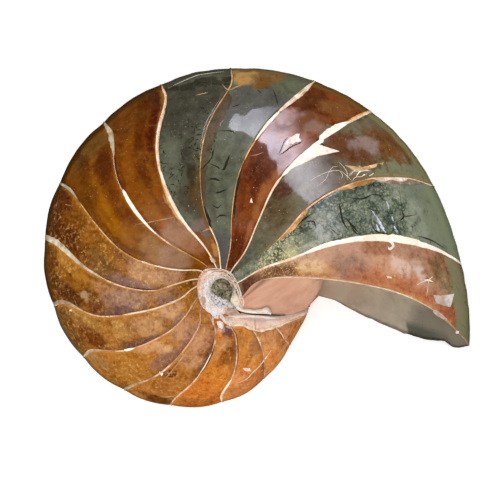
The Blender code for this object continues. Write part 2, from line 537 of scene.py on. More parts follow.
    def relief(self, height, strength, distance):
        """Small relief of the polished surface."""
        inputs = {"Height": height, "Strength": strength, "Distance": distance}
        self.feed("Normal", self.node("ShaderNodeBump", {}, inputs))


def paint(red, green, blue):
    """Colour from its values on a screen, 0 to 255."""

    def light(value):
        share = value / 255.0
        return share / 12.92 if share <= 0.04045 else ((share + 0.055) / 1.055) ** 2.4

    return (light(red), light(green), light(blue), 1.0)


# The kinds of stone: how far each shows long bands, soft clouds, pale grains, dark
# grains, dark veins and golden sparks, the size of its grains, how well it polished,
# and the colours of its depth, clouds and grains
Stone = namedtuple("Stone", "bands clouds pale dark veins sparks grain polish deep light speck")
AMBER_SHADE = (0.52, 0.34, 0.20, 1.0)
MUD_SHADE = (0.55, 0.56, 0.52, 1.0)
TEAL_SHADE = (0.26, 0.32, 0.29, 1.0)
ROSY_SHADE = (0.58, 0.42, 0.34, 1.0)
TAN_SHADE = (0.60, 0.50, 0.40, 1.0)
SMOOTH = Stone(
    0.70, 0.35, 0.12, 0.20, 0.0, 0.0, 0.0009, 0.9, AMBER_SHADE, paint(182, 122, 44), paint(206, 158, 92),
)
GRAINY = Stone(
    0.35, 0.55, 0.50, 0.60, 0.0, 0.0, 0.0008, 0.9, AMBER_SHADE, paint(206, 150, 82), paint(228, 184, 120),
)
CLOUDY = Stone(
    0.75, 0.60, 0.40, 0.45, 0.0, 0.6, 0.0010, 0.9, ROSY_SHADE, paint(214, 176, 148), paint(212, 160, 110),
)
MIXED = Stone(
    0.50, 0.60, 0.12, 0.40, 0.0, 0.0, 0.0010, 0.8, TAN_SHADE, paint(146, 138, 138), paint(176, 174, 166),
)
MUDDY = Stone(
    0.30, 0.45, 0.10, 0.30, 0.0, 0.0, 0.0008, 0.55, MUD_SHADE, paint(128, 132, 112), paint(150, 150, 128),
)
GLITTERY = Stone(
    0.2, 0.35, 0.85, 0.35, 0.75, 0.8, 0.0007, 0.6, TEAL_SHADE, paint(150, 154, 138), paint(180, 182, 154),
)
WORN = GRAINY._replace(polish=0.35)

# One row for each chamber back from the last septum: its stone, two ground colours,
# its rim's colour and width, how strong the painted highlight along the septum in front
# and the painted shade along the septum behind are, and its patches. A patch is a colour,
# its place across the chamber and out from the umbilicus, its half sizes there, its strength
# and how soft its edge is. Colours are red, green and blue as on a screen, and a patch's
# numbers are hundredths.
# In the amber rows the pale pinkish-grey patches near the umbilicus, out about 15 to 45, are partly the
# stone's own mauve and partly a painted reflection of the pale ceiling.
FILLINGS = (
    (CLOUDY, (182, 136, 110), (208, 160, 132), (134, 132, 102), 0.07, 0.2, 0.0, (
        ((192, 144, 120), 60, 45, 70, 26, 80, 90), ((190, 150, 128), 80, 50, 26, 20, 80, 70),
        ((196, 146, 92), 28, 30, 36, 12, 85, 80), ((224, 190, 150), 50, 33, 26, 6, 85, 90),
        ((200, 166, 138), 88, 26, 18, 10, 75, 90), ((112, 74, 48), 40, 16.5, 50, 9, 85, 80),
        ((150, 118, 100), 34, 50, 34, 8, 80, 80), ((190, 124, 86), 14, 67, 22, 19, 85, 90),
        ((166, 116, 86), 84, 63, 16, 7, 80, 80), ((206, 160, 128), 50, 65, 16, 5, 70, 90),
        ((224, 196, 180), 54, 71, 18, 3.5, 80, 90), ((230, 216, 210), 57, 78.5, 16, 3, 80, 80),
        ((182, 146, 124), 75, 78, 24, 6, 80, 80), ((172, 132, 104), 45, 85, 30, 4, 80, 70),
        ((142, 118, 86), 66, 90, 36, 5, 85, 70), ((88, 54, 36), 50, 0, 90, 9, 90, 90),
        ((130, 126, 96), 26, 95.5, 34, 6, 90, 50), ((170, 94, 60), 10, 90, 20, 4, 80, 60),
    )),
    (GLITTERY, (112, 118, 102), (134, 138, 120), (132, 138, 110), 0.05, 0.0, 0.0, (
        ((138, 144, 130), 38, 68, 42, 12, 75, 90), ((78, 88, 78), 93, 58, 10, 30, 70, 70),
        ((186, 184, 182), 40, 45, 30, 6, 80, 90), ((166, 160, 136), 45, 19, 40, 11, 75, 90),
        ((146, 152, 134), 42, 82, 50, 6, 85, 80), ((126, 132, 108), 45, 97, 60, 9, 95, 70),
        # The pale grey patch (172, 174, 166) at 52, 53 is a painted reflection of the window.
        ((172, 174, 166), 52, 53, 20, 5, 60, 90), ((94, 92, 88), 86, 34, 14, 8, 70, 80),
        ((220, 212, 160), 20, 25, 16, 3, 55, 90), ((196, 192, 176), 10, 36, 12, 6, 60, 80),
    )),
    (MIXED, (104, 98, 76), (118, 110, 86), (142, 138, 98), 0.03, 0.2, 0.0, (
        ((90, 92, 78), 60, 7, 80, 10, 90, 80), ((100, 82, 54), 60, 36, 40, 9, 80, 80),
        ((88, 50, 26), 80, 45, 22, 5, 90, 80), ((112, 106, 94), 12, 55, 14, 10, 80, 70),
        ((118, 106, 98), 45, 64, 30, 6, 80, 80), ((112, 96, 76), 35, 70, 25, 5, 80, 60),
        ((112, 70, 42), 62, 79, 34, 8, 95, 60), ((118, 78, 40), 52, 93, 32, 7, 95, 70),
        ((166, 150, 144), 57, 85.5, 15, 5, 65, 90), ((126, 86, 40), 40, 93, 12, 3, 70, 80),
        ((126, 128, 100), 8, 90, 20, 14, 95, 25), ((150, 140, 120), 20, 74, 10, 4, 70, 60),
    )),
    (SMOOTH, (112, 56, 22), (138, 76, 32), (124, 98, 50), 0.03, 0.0, 0.0, (
        ((92, 42, 18), 45, 52, 32, 14, 90, 80), ((96, 44, 18), 60, 10, 60, 10, 80, 80),
        ((160, 102, 58), 16, 34, 14, 20, 80, 90), ((130, 70, 26), 70, 32, 25, 10, 70, 90),
        ((116, 78, 54), 60, 80, 40, 6, 85, 80), ((102, 60, 30), 60, 90, 40, 5, 90, 70),
        ((132, 86, 46), 30, 92, 30, 5, 80, 70), ((126, 120, 102), 6, 80, 10, 5, 90, 35),
        # The pale lilac patch (196, 166, 168) at 80, 80 is a painted reflection of the window.
        ((150, 126, 112), 30, 78, 16, 3, 60, 80), ((196, 166, 168), 80, 80, 16, 5, 65, 70),
    )),
    (MUDDY, (94, 95, 79), (108, 111, 93), (116, 104, 82), 0.012, 0.0, 0.0, (
        ((94, 92, 88), 50, 6, 70, 13, 90, 90), ((94, 92, 88), 50, 79, 70, 11, 80, 80),
        ((132, 100, 56), 62, 98.5, 36, 8, 90, 30), ((184, 144, 88), 80, 95.5, 16, 4, 85, 80),
        ((120, 84, 36), 44, 92.5, 14, 3, 90, 50), ((104, 108, 86), 10, 93, 24, 7, 90, 40),
        ((84, 78, 62), 72, 36, 14, 14, 60, 80),
    )),
    (MUDDY, (84, 84, 68), (102, 102, 84), (84, 84, 71), 0.03, 0.0, 0.0, (
        ((74, 70, 58), 60, 82, 75, 12, 90, 80), ((94, 68, 32), 16, 37, 24, 18, 85, 90),
        ((78, 66, 46), 55, 38, 24, 8, 70, 70), ((130, 108, 98), 45, 20, 60, 6, 85, 80),
        ((142, 92, 42), 50, 5, 120, 10, 95, 25), ((132, 84, 38), 92, 16, 30, 3, 90, 40),
        ((192, 140, 84), 30, 10, 26, 3, 80, 50), ((122, 80, 38), 14, 20, 14, 8, 80, 60),
        ((106, 110, 92), 78, 56, 22, 14, 70, 80), ((62, 58, 46), 50, 94, 70, 2.5, 90, 40),
        ((60, 56, 46), 40, 60, 13, 7, 60, 90), ((60, 56, 44), 26, 50, 12, 7, 75, 90),
    )),
    (SMOOTH, (114, 62, 6), (138, 80, 14), (88, 62, 32), 0.035, 0.5, 0.0, (
        ((84, 30, 6), 11, 79, 15, 18, 95, 110), ((82, 40, 26), 14, 93, 18, 4, 90, 60),
        ((148, 92, 28), 60, 44, 28, 14, 60, 90), ((182, 134, 84), 4, 34, 6, 12, 80, 70),
        ((166, 128, 102), 60, 23, 60, 10, 85, 70), ((162, 112, 82), 35, 14, 50, 6, 70, 80),
        ((100, 58, 14), 60, 90, 40, 6, 60, 80),
    )),
    (SMOOTH, (118, 68, 5), (142, 86, 5), (86, 54, 14), 0.035, 0.3, 0.0, (
        ((160, 104, 10), 64, 62, 18, 18, 90, 110), ((90, 42, 6), 22, 81, 24, 10, 90, 100),
        ((104, 80, 38), 40, 93, 35, 5, 70, 90), ((108, 54, 8), 22, 58, 16, 14, 80, 110),
        ((158, 118, 74), 50, 32, 45, 8, 80, 70), ((164, 130, 106), 50, 18, 60, 9, 80, 70),
        ((120, 74, 12), 85, 80, 20, 12, 70, 80),
    )),
    (GRAINY, (126, 78, 16), (150, 96, 26), (86, 54, 16), 0.03, 0.4, 0.3, (
        ((92, 44, 6), 68, 84, 30, 10, 90, 80), ((125, 76, 12), 30, 82, 20, 9, 80, 70),
        ((84, 46, 14), 50, 94.5, 70, 4.5, 85, 60), ((98, 44, 8), 14, 90, 16, 5, 80, 60),
        ((190, 144, 106), 36, 33, 40, 11, 85, 80), ((142, 112, 100), 82, 43, 20, 14, 85, 70),
        ((118, 86, 50), 68, 62, 28, 7, 70, 70), ((184, 142, 112), 40, 17, 60, 9, 80, 80),
    )),
    (GRAINY, (132, 84, 26), (160, 106, 32), (100, 68, 26), 0.03, 0.7, 0.7, (
        ((172, 120, 44), 12, 82, 18, 13, 85, 60), ((86, 46, 16), 76, 86, 24, 8, 90, 60),
        ((112, 68, 40), 70, 70, 28, 6, 80, 70), ((96, 54, 12), 55, 95, 70, 5, 75, 80),
        ((198, 176, 144), 62, 76.5, 10, 2.5, 55, 90), ((150, 114, 98), 55, 57, 35, 7, 85, 70),
        ((168, 132, 110), 42, 44, 42, 12, 80, 80), ((112, 84, 82), 86, 52, 16, 13, 90, 70),
        ((172, 130, 96), 30, 22, 30, 8, 80, 70), ((144, 108, 92), 72, 20, 30, 9, 80, 70),
        ((184, 136, 92), 22, 62, 16, 7, 70, 80),
    )),
    (GRAINY, (150, 98, 36), (178, 122, 54), (120, 96, 64), 0.03, 0.7, 0.6, (
        ((170, 128, 68), 22, 82, 22, 10, 85, 60), ((118, 64, 14), 66, 83, 32, 8, 90, 70),
        ((116, 78, 30), 42, 94.5, 50, 4.5, 85, 70), ((204, 158, 112), 50, 43, 36, 10, 65, 100),
        ((190, 144, 84), 40, 60, 35, 6, 70, 70), ((212, 168, 128), 36, 21, 38, 10, 75, 100),
        ((150, 114, 98), 86, 21, 20, 9, 85, 70), ((120, 82, 64), 88, 56, 13, 13, 85, 60),
    )),
    (GRAINY, (162, 106, 38), (184, 124, 52), (146, 108, 68), 0.02, 0.7, 0.6, (
        ((210, 160, 114), 16, 53, 20, 8, 85, 60), ((152, 110, 88), 78, 54, 22, 16, 90, 70),
        ((196, 150, 116), 36, 24, 38, 13, 75, 100), ((172, 128, 112), 84, 26, 20, 13, 80, 70),
        ((212, 168, 124), 50, 49, 18, 5, 80, 80), ((166, 112, 42), 55, 84, 35, 8, 80, 70),
        ((146, 90, 18), 80, 94, 30, 4, 80, 70), ((158, 120, 70), 18, 92, 30, 5, 70, 60),
    )),
    (GRAINY, (160, 103, 40), (184, 122, 54), (150, 116, 82), 0.015, 0.6, 0.6, (
        ((112, 58, 26), 14, 67, 16, 3.5, 90, 50), ((198, 148, 116), 38, 29, 40, 14, 75, 100),
        ((158, 112, 88), 84, 30, 16, 12, 80, 70), ((122, 82, 62), 90, 45, 12, 20, 80, 60),
        ((192, 144, 108), 48, 50, 34, 8, 80, 80), ((206, 180, 150), 75, 88.5, 16, 1, 80, 40),
        ((112, 68, 28), 70, 93.5, 42, 4.5, 85, 70), ((166, 108, 48), 50, 80, 40, 8, 70, 80),
    )),
    (WORN, (190, 116, 42), (212, 136, 58), (172, 108, 54), 0.015, 0.5, 0.5, (
        ((192, 132, 78), 14, 40, 20, 12, 80, 70), ((144, 88, 34), 68, 47, 34, 13, 85, 80),
        ((190, 140, 96), 48, 34, 22, 7, 80, 80), ((118, 78, 58), 70, 22, 30, 9, 85, 70),
        ((206, 124, 50), 40, 80, 50, 10, 80, 80), ((172, 104, 42), 40, 93.5, 50, 5, 80, 80),
    )),
    (WORN, (190, 122, 54), (212, 144, 74), (182, 126, 84), 0.015, 0.5, 0.4, (
        ((202, 130, 66), 14, 62, 24, 12, 80, 70), ((172, 118, 78), 75, 57, 25, 12, 85, 70),
        ((188, 128, 66), 24, 36, 26, 10, 85, 70), ((196, 124, 74), 50, 90, 50, 8, 80, 80),
        ((226, 152, 100), 26, 78, 26, 7, 85, 80),
    )),
    (WORN, (206, 142, 86), (222, 158, 100), (196, 148, 102), 0.015, 0.5, 0.4, (
        ((184, 128, 88), 25, 48, 30, 8, 80, 70), ((206, 148, 104), 60, 65, 40, 12, 70, 80),
        ((218, 138, 70), 25, 86, 30, 10, 80, 80), ((168, 106, 58), 86, 82, 20, 10, 70, 80),
    )),
    (WORN, (206, 146, 96), (222, 164, 116), (196, 150, 108), 0.015, 0.4, 0.3, (
        ((188, 136, 96), 60, 82, 30, 6, 70, 80), ((194, 124, 62), 30, 94, 40, 5, 80, 80),
    )),
)
# Painted highlight along each chamber's front septum, and painted shade along its back one
PAINTED_HIGHLIGHT_TINT = paint(206, 146, 66)
PAINTED_SHADE_TINT = paint(112, 78, 66)
SPARK_GOLD = paint(228, 208, 150)
DUST = paint(226, 214, 190)
COBBLE = paint(152, 154, 122)
PATCH_WARP = (0.50, 0.15, 0.0)
FINE_WARP = (0.10, 0.022, 0.0)
CALM_FROM = 0.80
CALM_TO = 0.88


def stone_finish(name, stone, grounds, rim, edges, patches, seed):
    """Polished stone of one chamber: its bands, patches, clouds, grains, veins and rim, with a painted
    highlight along its front septum and painted shade along its back one.
    """
    finish = Finish(name, 0.30, 0.9)
    chart = finish.chart()
    across, out = finish.parts(chart)
    warped = finish.warped_chart(0.0060, PATCH_WARP, 0.0014, FINE_WARP, seed)
    bands = finish.streaks(warped, 4.0, 0.9, seed + 1.0, 1.5)
    clouds = finish.cloud(0.0027, seed + 2.0, 6.0, 0.66)
    ground = bands * stone.bands + clouds * (1.0 - stone.bands)
    low, high = [paint(*tint) for tint in grounds]
    colour = finish.blend(finish.step(ground, 0.34, 0.66), low, high)
    colour = finish.patched(colour, warped, patches)
    colour = finish.deepen(finish.step(bands, 0.52, 0.28, 0.0, stone.bands * 0.7), colour, stone.deep)
    colour = finish.deepen(finish.step(clouds, 0.50, 0.32, 0.0, stone.clouds), colour, stone.deep)
    colour = finish.blend(finish.step(clouds, 0.52, 0.74, 0.0, stone.clouds * 0.5), colour, stone.light)
    fine = finish.cloud(stone.grain, seed + 4.0, 4.0, 0.70)
    clumps = finish.cloud(0.0048, seed + 5.0, 3.0, 0.5)
    calm = finish.step(out, CALM_FROM, CALM_TO, 1.0, 0.0) if stone.veins else 1.0
    pale = finish.step(fine, 0.49, 0.68) * finish.step(clumps, 0.38, 0.60, 0.2, 1.0) * stone.pale * calm
    colour = finish.blend(pale, colour, stone.speck)
    dark = finish.step(fine, 0.49, 0.36) * finish.step(clumps, 0.62, 0.40, 0.2, 1.0) * stone.dark * calm
    colour = finish.deepen(dark, colour, stone.deep)
    bump = clouds * 0.25 + fine * 0.15
    if stone.veins:
        web = finish.cracks(0.0032, seed + 8.0, 0.10, 1.2)
        fine_web = finish.cracks(0.00085, seed + 9.0, 0.30, 1.5)
        some = finish.step(finish.cloud(0.0050, seed + 10.0, 3.0, 0.55), 0.42, 0.56)
        cobbles = finish.step(fine_web, 0.6, 0.0, 0.0, 0.75) * some * finish.step(fine, 0.42, 0.56, 0.15, 1.0)
        colour = finish.blend(cobbles * calm, colour, COBBLE)
        broad_veins = finish.step(abs(finish.cloud(0.0065, seed + 13.0, 4.0, 0.6) - 0.5), 0.045, 0.0)
        lines = (web * 0.5 + fine_web * some * 0.8 + broad_veins * some) * stone.veins * calm
        colour = finish.deepen(lines, colour, stone.deep)
        bump = bump - lines * 0.7
    if stone.sparks:
        sparks = finish.step(finish.cloud(0.00042, seed + 6.0, 2.0, 0.7), 0.53, 0.63, 0.0, stone.sparks)
        where = finish.step(out, 0.44, 0.26) * finish.step(out, 0.07, 0.14) * finish.step(clumps, 0.34, 0.56)
        colour = finish.blend(sparks * where, colour, SPARK_GOLD)
    dust = finish.step(finish.cloud(0.00028, seed + 11.0, 1.0, 0.5), 0.73, 0.80, 0.0, 0.7)
    colour = finish.blend(dust, colour, DUST)
    uneven = (clouds - 0.5) * 0.16
    # Painted highlight along the front septum
    painted_highlight = finish.step(across + uneven, 0.11, 0.0, 0.0, edges[0])
    colour = finish.blend(painted_highlight, colour, PAINTED_HIGHLIGHT_TINT)
    # Painted shade along the back septum, in the middle of the flank
    middle = finish.step(out, 0.12, 0.30) * finish.step(out, 0.82, 0.62)
    painted_shade = finish.step(across + uneven, 0.76, 0.99, 0.0, edges[1]) * middle
    colour = finish.blend(painted_shade, colour, PAINTED_SHADE_TINT)
    rim_colour, rim_width = rim
    to_rim = abs(out - 1.0) + (ground - 0.5) * 0.03
    wall = finish.step(to_rim, rim_width - 0.008, rim_width + 0.010, 0.85, 0.0)
    colour = finish.blend(wall, colour, paint(*rim_colour))
    finish.feed("Base Color", colour)
    finish.feed("Roughness", finish.step(clouds, 0.2, 0.8, 0.22, 0.42))
    worn = finish.cloud(0.0035, seed + 12.0, 4.0, 0.6)
    finish.feed("Coat Weight", finish.step(worn, 0.36, 0.60, stone.polish * 0.72, stone.polish))
    finish.relief(bump, 0.25, 0.0003)
    return finish


FILLING_COLUMNS = 18
CREST_ROWS = 12
EDGE_ROWS = 36
CUT_ROWS = 12
SKIN = 0.0004
THIN_SKIN = 0.00015
SEED_STEP = 7.0


def filling_reaches():
    """Rows of a filling: out over the flank, then in over the cut face."""
    crest = [CREST_SHARE * i / CREST_ROWS for i in range(CREST_ROWS)]
    quarter = math.pi / 2.0
    edge = [mix(CREST_SHARE, 1.0, math.sin(quarter * i / EDGE_ROWS)) for i in range(EDGE_ROWS + 1)]
    return crest + edge + [1.0 + (i + 1) / CUT_ROWS for i in range(CUT_ROWS)]


REACHES = filling_reaches()
for number, (stone, low, high, rim, rim_width, painted_highlight, painted_shade, patches) in enumerate(FILLINGS):

    def place(column, row):
        across = 1.0 - column / FILLING_COLUMNS
        return filling_place(number, across, REACHES[row]), (across, REACHES[row])

    filling = bent_grid(FILLING_COLUMNS, len(REACHES) - 1, place)
    name = "chamber_filling_%02d" % (number + 1)
    edges = (painted_highlight, painted_shade)
    finish = stone_finish(name, stone, (low, high), (rim, rim_width), edges, patches, SEED_STEP * number)
    finished_piece(name, filling, [finish], SKIN if number else THIN_SKIN)


# Septa. Thin walls of nacre part the chambers. Polishing has cut through them, so
# each shows as a cream line, over the flank and on across the cut face, with white
# wedges where it was thick or had broken before the chambers filled.

# The strands of each septum's line: finish, where it starts and ends out from the
# umbilicus, which side of the line it lies on (-1 in front, 1 behind), and its widths
# in tenths of a millimetre at equal steps
EDGE_STRANDS = (
    (
        ("cream", 0.1, 0.82, 0.0, (1, 3, 3, 3, 3, 2)), ("tan", 0.66, 0.92, 1.0, (1, 4, 3, 5, 2)),
        ("grey", 0.84, 1.0, 0.0, (1, 2, 1)),
    ),
    (
        ("cream", 0.0, 0.34, 0.0, (3, 4, 6, 7)),
        ("white", 0.26, 1.0, 0.2, (3, 8, 10, 11, 15, 19, 15, 9, 5)),
    ),
    (
        ("rosy", 0.24, 0.74, 0.0, (2, 4, 4, 4, 3)), ("tan", 0.25, 0.46, -1.0, (2, 8, 11, 10, 3)),
        ("tan", 0.6, 0.8, -1.0, (2, 9, 12, 9, 4)), ("shadow", 0.74, 0.96, -0.8, (3, 13, 18, 17, 14, 4)),
        ("cream", 0.72, 0.99, 0.3, (2, 3, 2, 2, 3, 2, 3)), ("blush", 0.76, 0.9, -1.0, (2, 9, 7, 10, 3)),
    ),
    (
        ("cream", 0.0, 0.52, 0.0, (3, 3, 3, 4, 6)), ("white", 0.5, 0.76, -0.3, (6, 10, 11, 9)),
        ("white", 0.73, 0.89, 0.5, (5, 15, 17, 14, 4)), ("cream", 0.86, 1.0, 0.0, (6, 7, 5)),
        ("tan", 0.86, 1.0, 1.0, (4, 7, 5)),
    ),
    (
        ("rosy", 0.0, 0.16, 0.0, (2, 2, 2)), ("tan", 0.14, 0.66, 0.0, (2, 2, 2, 3, 4)),
        ("white", 0.63, 0.8, -0.2, (3, 6, 8, 5)), ("blush", 0.78, 0.985, -0.2, (6, 9, 12, 12, 5)),
        ("cream", 0.8, 1.0, -0.8, (3, 4, 4, 3)),
    ),
    (
        ("umber", 0.28, 0.88, -1.0, (3, 10, 14, 20, 26, 26, 14)), ("cream", 0.0, 0.22, 0.0, (3, 3, 3)),
        ("tan", 0.2, 1.0, 0.0, (2, 2, 2, 3, 3, 3)),
    ),
    (
        ("tan", 0.22, 0.56, 1.0, (2, 7, 9, 7, 3)), ("cream", 0.0, 0.6, 0.0, (3, 4, 6, 8, 8, 5)),
        ("cream", 0.52, 0.985, 0.9, (3, 5, 4, 3, 2)), ("rosy", 0.55, 1.0, -0.9, (3, 3, 4, 4, 3)),
    ),
    (
        ("tan", 0.0, 0.24, 0.0, (3, 3, 3)), ("rosy", 0.22, 0.36, 0.0, (3, 4, 4)),
        ("white", 0.33, 0.645, 0.0, (2, 5, 8, 9, 6)), ("brown", 0.64, 0.81, 0.0, (2, 2, 1, 1)),
        ("grey", 0.79, 1.0, 0.8, (1, 7, 14, 11, 3)),
    ),
    (
        ("cream", 0.0, 0.38, 0.0, (3, 3, 3)), ("brown", 0.38, 0.72, -1.0, (1, 3, 3, 2)),
        ("tan", 0.36, 0.84, 0.5, (3, 4, 4, 3, 2)), ("grey", 0.84, 1.0, 0.0, (2, 6, 7, 5)),
    ),
    (
        ("cream", 0.0, 0.2, 0.0, (3, 3, 3)), ("tan", 0.18, 0.32, 0.0, (3, 3, 3)),
        ("brown", 0.24, 0.47, -1.0, (1, 4, 4, 1)), ("rosy", 0.25, 0.6, 0.3, (3, 3, 3, 4)),
        ("bone", 0.56, 1.0, -0.3, (3, 4, 6, 9, 14, 15, 12)),
    ),
    (
        ("grey", 0.78, 1.0, -1.0, (1, 6, 9, 8)), ("cream", 0.0, 0.56, 0.0, (3, 4, 4, 4)),
        ("rosy", 0.54, 1.0, 0.0, (4, 3, 3, 3)),
    ),
    (
        ("grey", 0.8, 1.0, 1.0, (1, 4, 6, 4)), ("rosy", 0.0, 1.0, 0.0, (3, 3, 4, 4, 3)),
        ("white", 0.63, 0.7, 0.0, (3, 6, 5)),
    ),
    (
        ("rosy", 0.0, 1.0, 0.0, (3, 4, 4, 4, 3)), ("cream", 0.62, 0.68, 0.3, (2, 4, 3)),
        ("grey", 0.78, 1.0, -1.0, (1, 4, 6, 4)),
    ),
    (
        ("rosy", 0.0, 0.4, 0.0, (3, 4, 4)), ("cream", 0.4, 0.66, -0.4, (2, 3, 3, 2)),
        ("brown", 0.3, 0.64, 1.0, (1, 3, 3, 1)), ("rosy", 0.62, 1.0, 0.0, (3, 4, 4, 4)),
    ),
    (
        ("brown", 0.12, 0.78, 1.0, (1, 3, 3, 3, 1)), ("rosy", 0.0, 0.8, 0.0, (3, 4, 4, 4)),
        ("cream", 0.74, 1.0, 0.0, (3, 6, 6, 4)),
    ),
    (("rosy", 0.0, 1.0, 0.0, (4, 4, 4, 4, 4)),),
    (("rosy", 0.0, 1.0, 0.0, (4, 4, 4, 4, 4)),),
)
TENTH = 0.0001
CUT_WIDTH = 0.00028
CUT_POINTS = 24
EDGE_LIFT = 0.00005
BAND_LIFT = 0.00002
STRAND_STEP = 0.000006
EDGE_DEPTH = 0.00025
BROAD_KINDS = ("umber", "tan", "grey", "shadow")
BAND_RAGGED = 0.18
RAGGED = 0.16
RAGGED_GRAIN = 0.0012
RAGGED_FINER = 2.3
RAGGED_FINE = 0.7

# Each strand is a closed ridge with six sides. Its top is inset by a share of its width,
# and the middle of its top is at this place across its chart.
RIDGE_SIDES = 6
RIDGE_INSET = 0.2
RIDGE_MIDDLE = 0.4167


def nacre_finish(name, ground, light, dark, seed, wear=0.5):
    """Polished shell wall: a clear colour, clouded along its length, darker at its sides."""
    nacre = Finish(name, 0.34, 0.4)
    ground, light, dark = [paint(*tint) for tint in (ground, light, dark)]
    long = nacre.cloud(0.0055, seed + 2.0, 3.0, 0.6)
    broad = nacre.cloud(0.0022, seed, 3.0, 0.55)
    fine = nacre.cloud(0.0007, seed + 1.0, 4.0, 0.6)
    side = abs(nacre.part(nacre.chart(), "X") - RIDGE_MIDDLE)
    colour = nacre.blend(nacre.step(broad, 0.38, 0.62), ground, light)
    colour = nacre.blend(nacre.step(long, 0.54, 0.34, 0.0, wear), colour, dark)
    colour = nacre.blend(nacre.step(fine, 0.50, 0.34, 0.0, wear), colour, dark)
    colour = nacre.blend(nacre.step(side + (fine - 0.5) * 0.2, 0.12, 0.27, 0.0, wear), colour, dark)
    nacre.feed("Base Color", colour)
    nacre.feed("Roughness", nacre.step(fine, 0.3, 0.7, 0.24, 0.44))
    nacre.relief(fine, 0.3, 0.0002)
    return nacre


# The kinds of nacre: ground, light and dark colour, seed of the clouds and wear
NACRES = {
    "cream": ((234, 208, 172), (250, 240, 222), (204, 146, 96), 3.0, 0.5),
    "white": ((252, 240, 222), (255, 252, 246), (226, 184, 140), 5.0, 0.3),
    "rosy": ((214, 170, 136), (240, 208, 178), (160, 106, 74), 9.0, 0.7),
    "tan": ((190, 142, 88), (224, 182, 130), (128, 88, 46), 11.0, 0.5),
    "blush": ((216, 188, 166), (246, 232, 218), (160, 122, 98), 13.0, 0.5),
    "bone": ((190, 174, 146), (226, 214, 194), (150, 122, 86), 15.0, 0.5),
    "grey": ((172, 156, 130), (196, 182, 156), (126, 102, 74), 17.0, 0.5),
    "umber": ((92, 78, 60), (108, 90, 70), (78, 68, 53), 19.0, 0.5),
    "shadow": ((140, 122, 104), (178, 160, 142), (84, 76, 62), 23.0, 0.5),
    "brown": ((96, 58, 38), (116, 74, 50), (66, 40, 26), 21.0, 0.5),
}
EDGE_FINISHES = {kind: nacre_finish(kind + "_nacre", *nacre) for kind, nacre in NACRES.items()}


def ridge_corner(column, right, left, lift, depth):
    """How far to the right and up one corner of a ridge lies."""
    inset = (right + left) * RIDGE_INSET
    corners = (
        (right, -depth), (right, 0.0), (right - inset, lift), (inset - left, lift),
        (-left, 0.0), (-left, -depth), (right, -depth),
    )
    return corners[column]


def line_strip(path, widths, points, lift, depth):
    """A closed low ridge along a path, which bulges lift above it and is sunk depth below.
    path(share) gives a point and the way up, and widths(share) how far it reaches
    to the right and to the left of its way."""
    step = 0.5 / points

    def place(column, row):
        share = row / points
        here, up = path(share)
        ahead = path(min(share + step, 1.0))[0] - path(max(share - step, 0.0))[0]
        side = ahead.cross(up).normalized()
        reach, height = ridge_corner(column, *widths(share), lift, depth)
        return here + side * reach + up * height, (column / RIDGE_SIDES, share)

    return closed_grid(RIDGE_SIDES, points, place)


def chamber_at(angle, out):
    """Number of the chamber that a place of the flank lies in."""
    for number in range(SEAT):
        if angle < septum_angle(number + 1, out):
            return number
    return SEAT - 1


def surface_place(angle, out):
    """A point of the fillings' polished surface."""
    number = chamber_at(angle, out)
    front = septum_angle(number, out)
    back = septum_angle(number + 1, out)
    across = min(max((angle - front) / (back - front), 0.0), 1.0)
    point = flank_place(angle, out)
    return point + (filling_place(number, across, out) - flank_place(mix(front, back, across), out))


# Small steps over the flank, to find which way it runs at a place
ANGLE_STEP = 0.3
OUT_STEP = 0.012
LINE_STEP = 0.004


def flank_round(angle, out):
    """Way of the flank back round the coil at a place, over two angle steps."""
    return flank_place(angle + ANGLE_STEP, out) - flank_place(angle - ANGLE_STEP, out)


def flank_up(angle, out):
    """Which way the flank faces at a place."""
    low = max(out - OUT_STEP, 0.0)
    high = min(out + OUT_STEP, 1.0)
    outward = flank_place(angle, high) - flank_place(angle, low)
    return outward.cross(flank_round(angle, out)).normalized()


def ragged(point, amount=RAGGED):
    """Uneven width of a broken or worn edge."""
    place = point / RAGGED_GRAIN
    return 1.0 + amount * (noise.noise(place) + RAGGED_FINE * noise.noise(place * RAGGED_FINER))


STRAND_POINTS = 170
LEAST_POINTS = 24
LEAST_SLANT = 0.35
LEAST_TENTHS = 0.4
LEAST_HALF = 0.00001
STRAND_TAPER = 12.0
BESIDE = Vector((0.01, 0.0, 0.0))


def surface_strip(angle_at, outs, halves, lift):
    """A closed low ridge on the flank. angle_at(out) gives its line, at the distances out
    in outs, and halves(share, point) how far it reaches in front and behind."""

    def place(column, row):
        share = row / (len(outs) - 1)
        out = outs[row]
        angle = angle_at(out)
        ring = flank_round(angle, out) / (2.0 * ANGLE_STEP)
        low = max(out - LINE_STEP, 0.0)
        high = min(out + LINE_STEP, 1.0)
        along = flank_place(angle_at(high), high) - flank_place(angle_at(low), low)
        slant = max(ring.cross(along).length / (ring.length * along.length), LEAST_SLANT)
        front, behind = halves(share, flank_place(angle, out))
        reach, height = ridge_corner(column, front, behind, lift, EDGE_DEPTH)
        turn = angle - reach / (ring.length * slant)
        return surface_place(turn, out) + flank_up(turn, out) * height, (column / RIDGE_SIDES, share)

    return closed_grid(RIDGE_SIDES, len(outs) - 1, place)


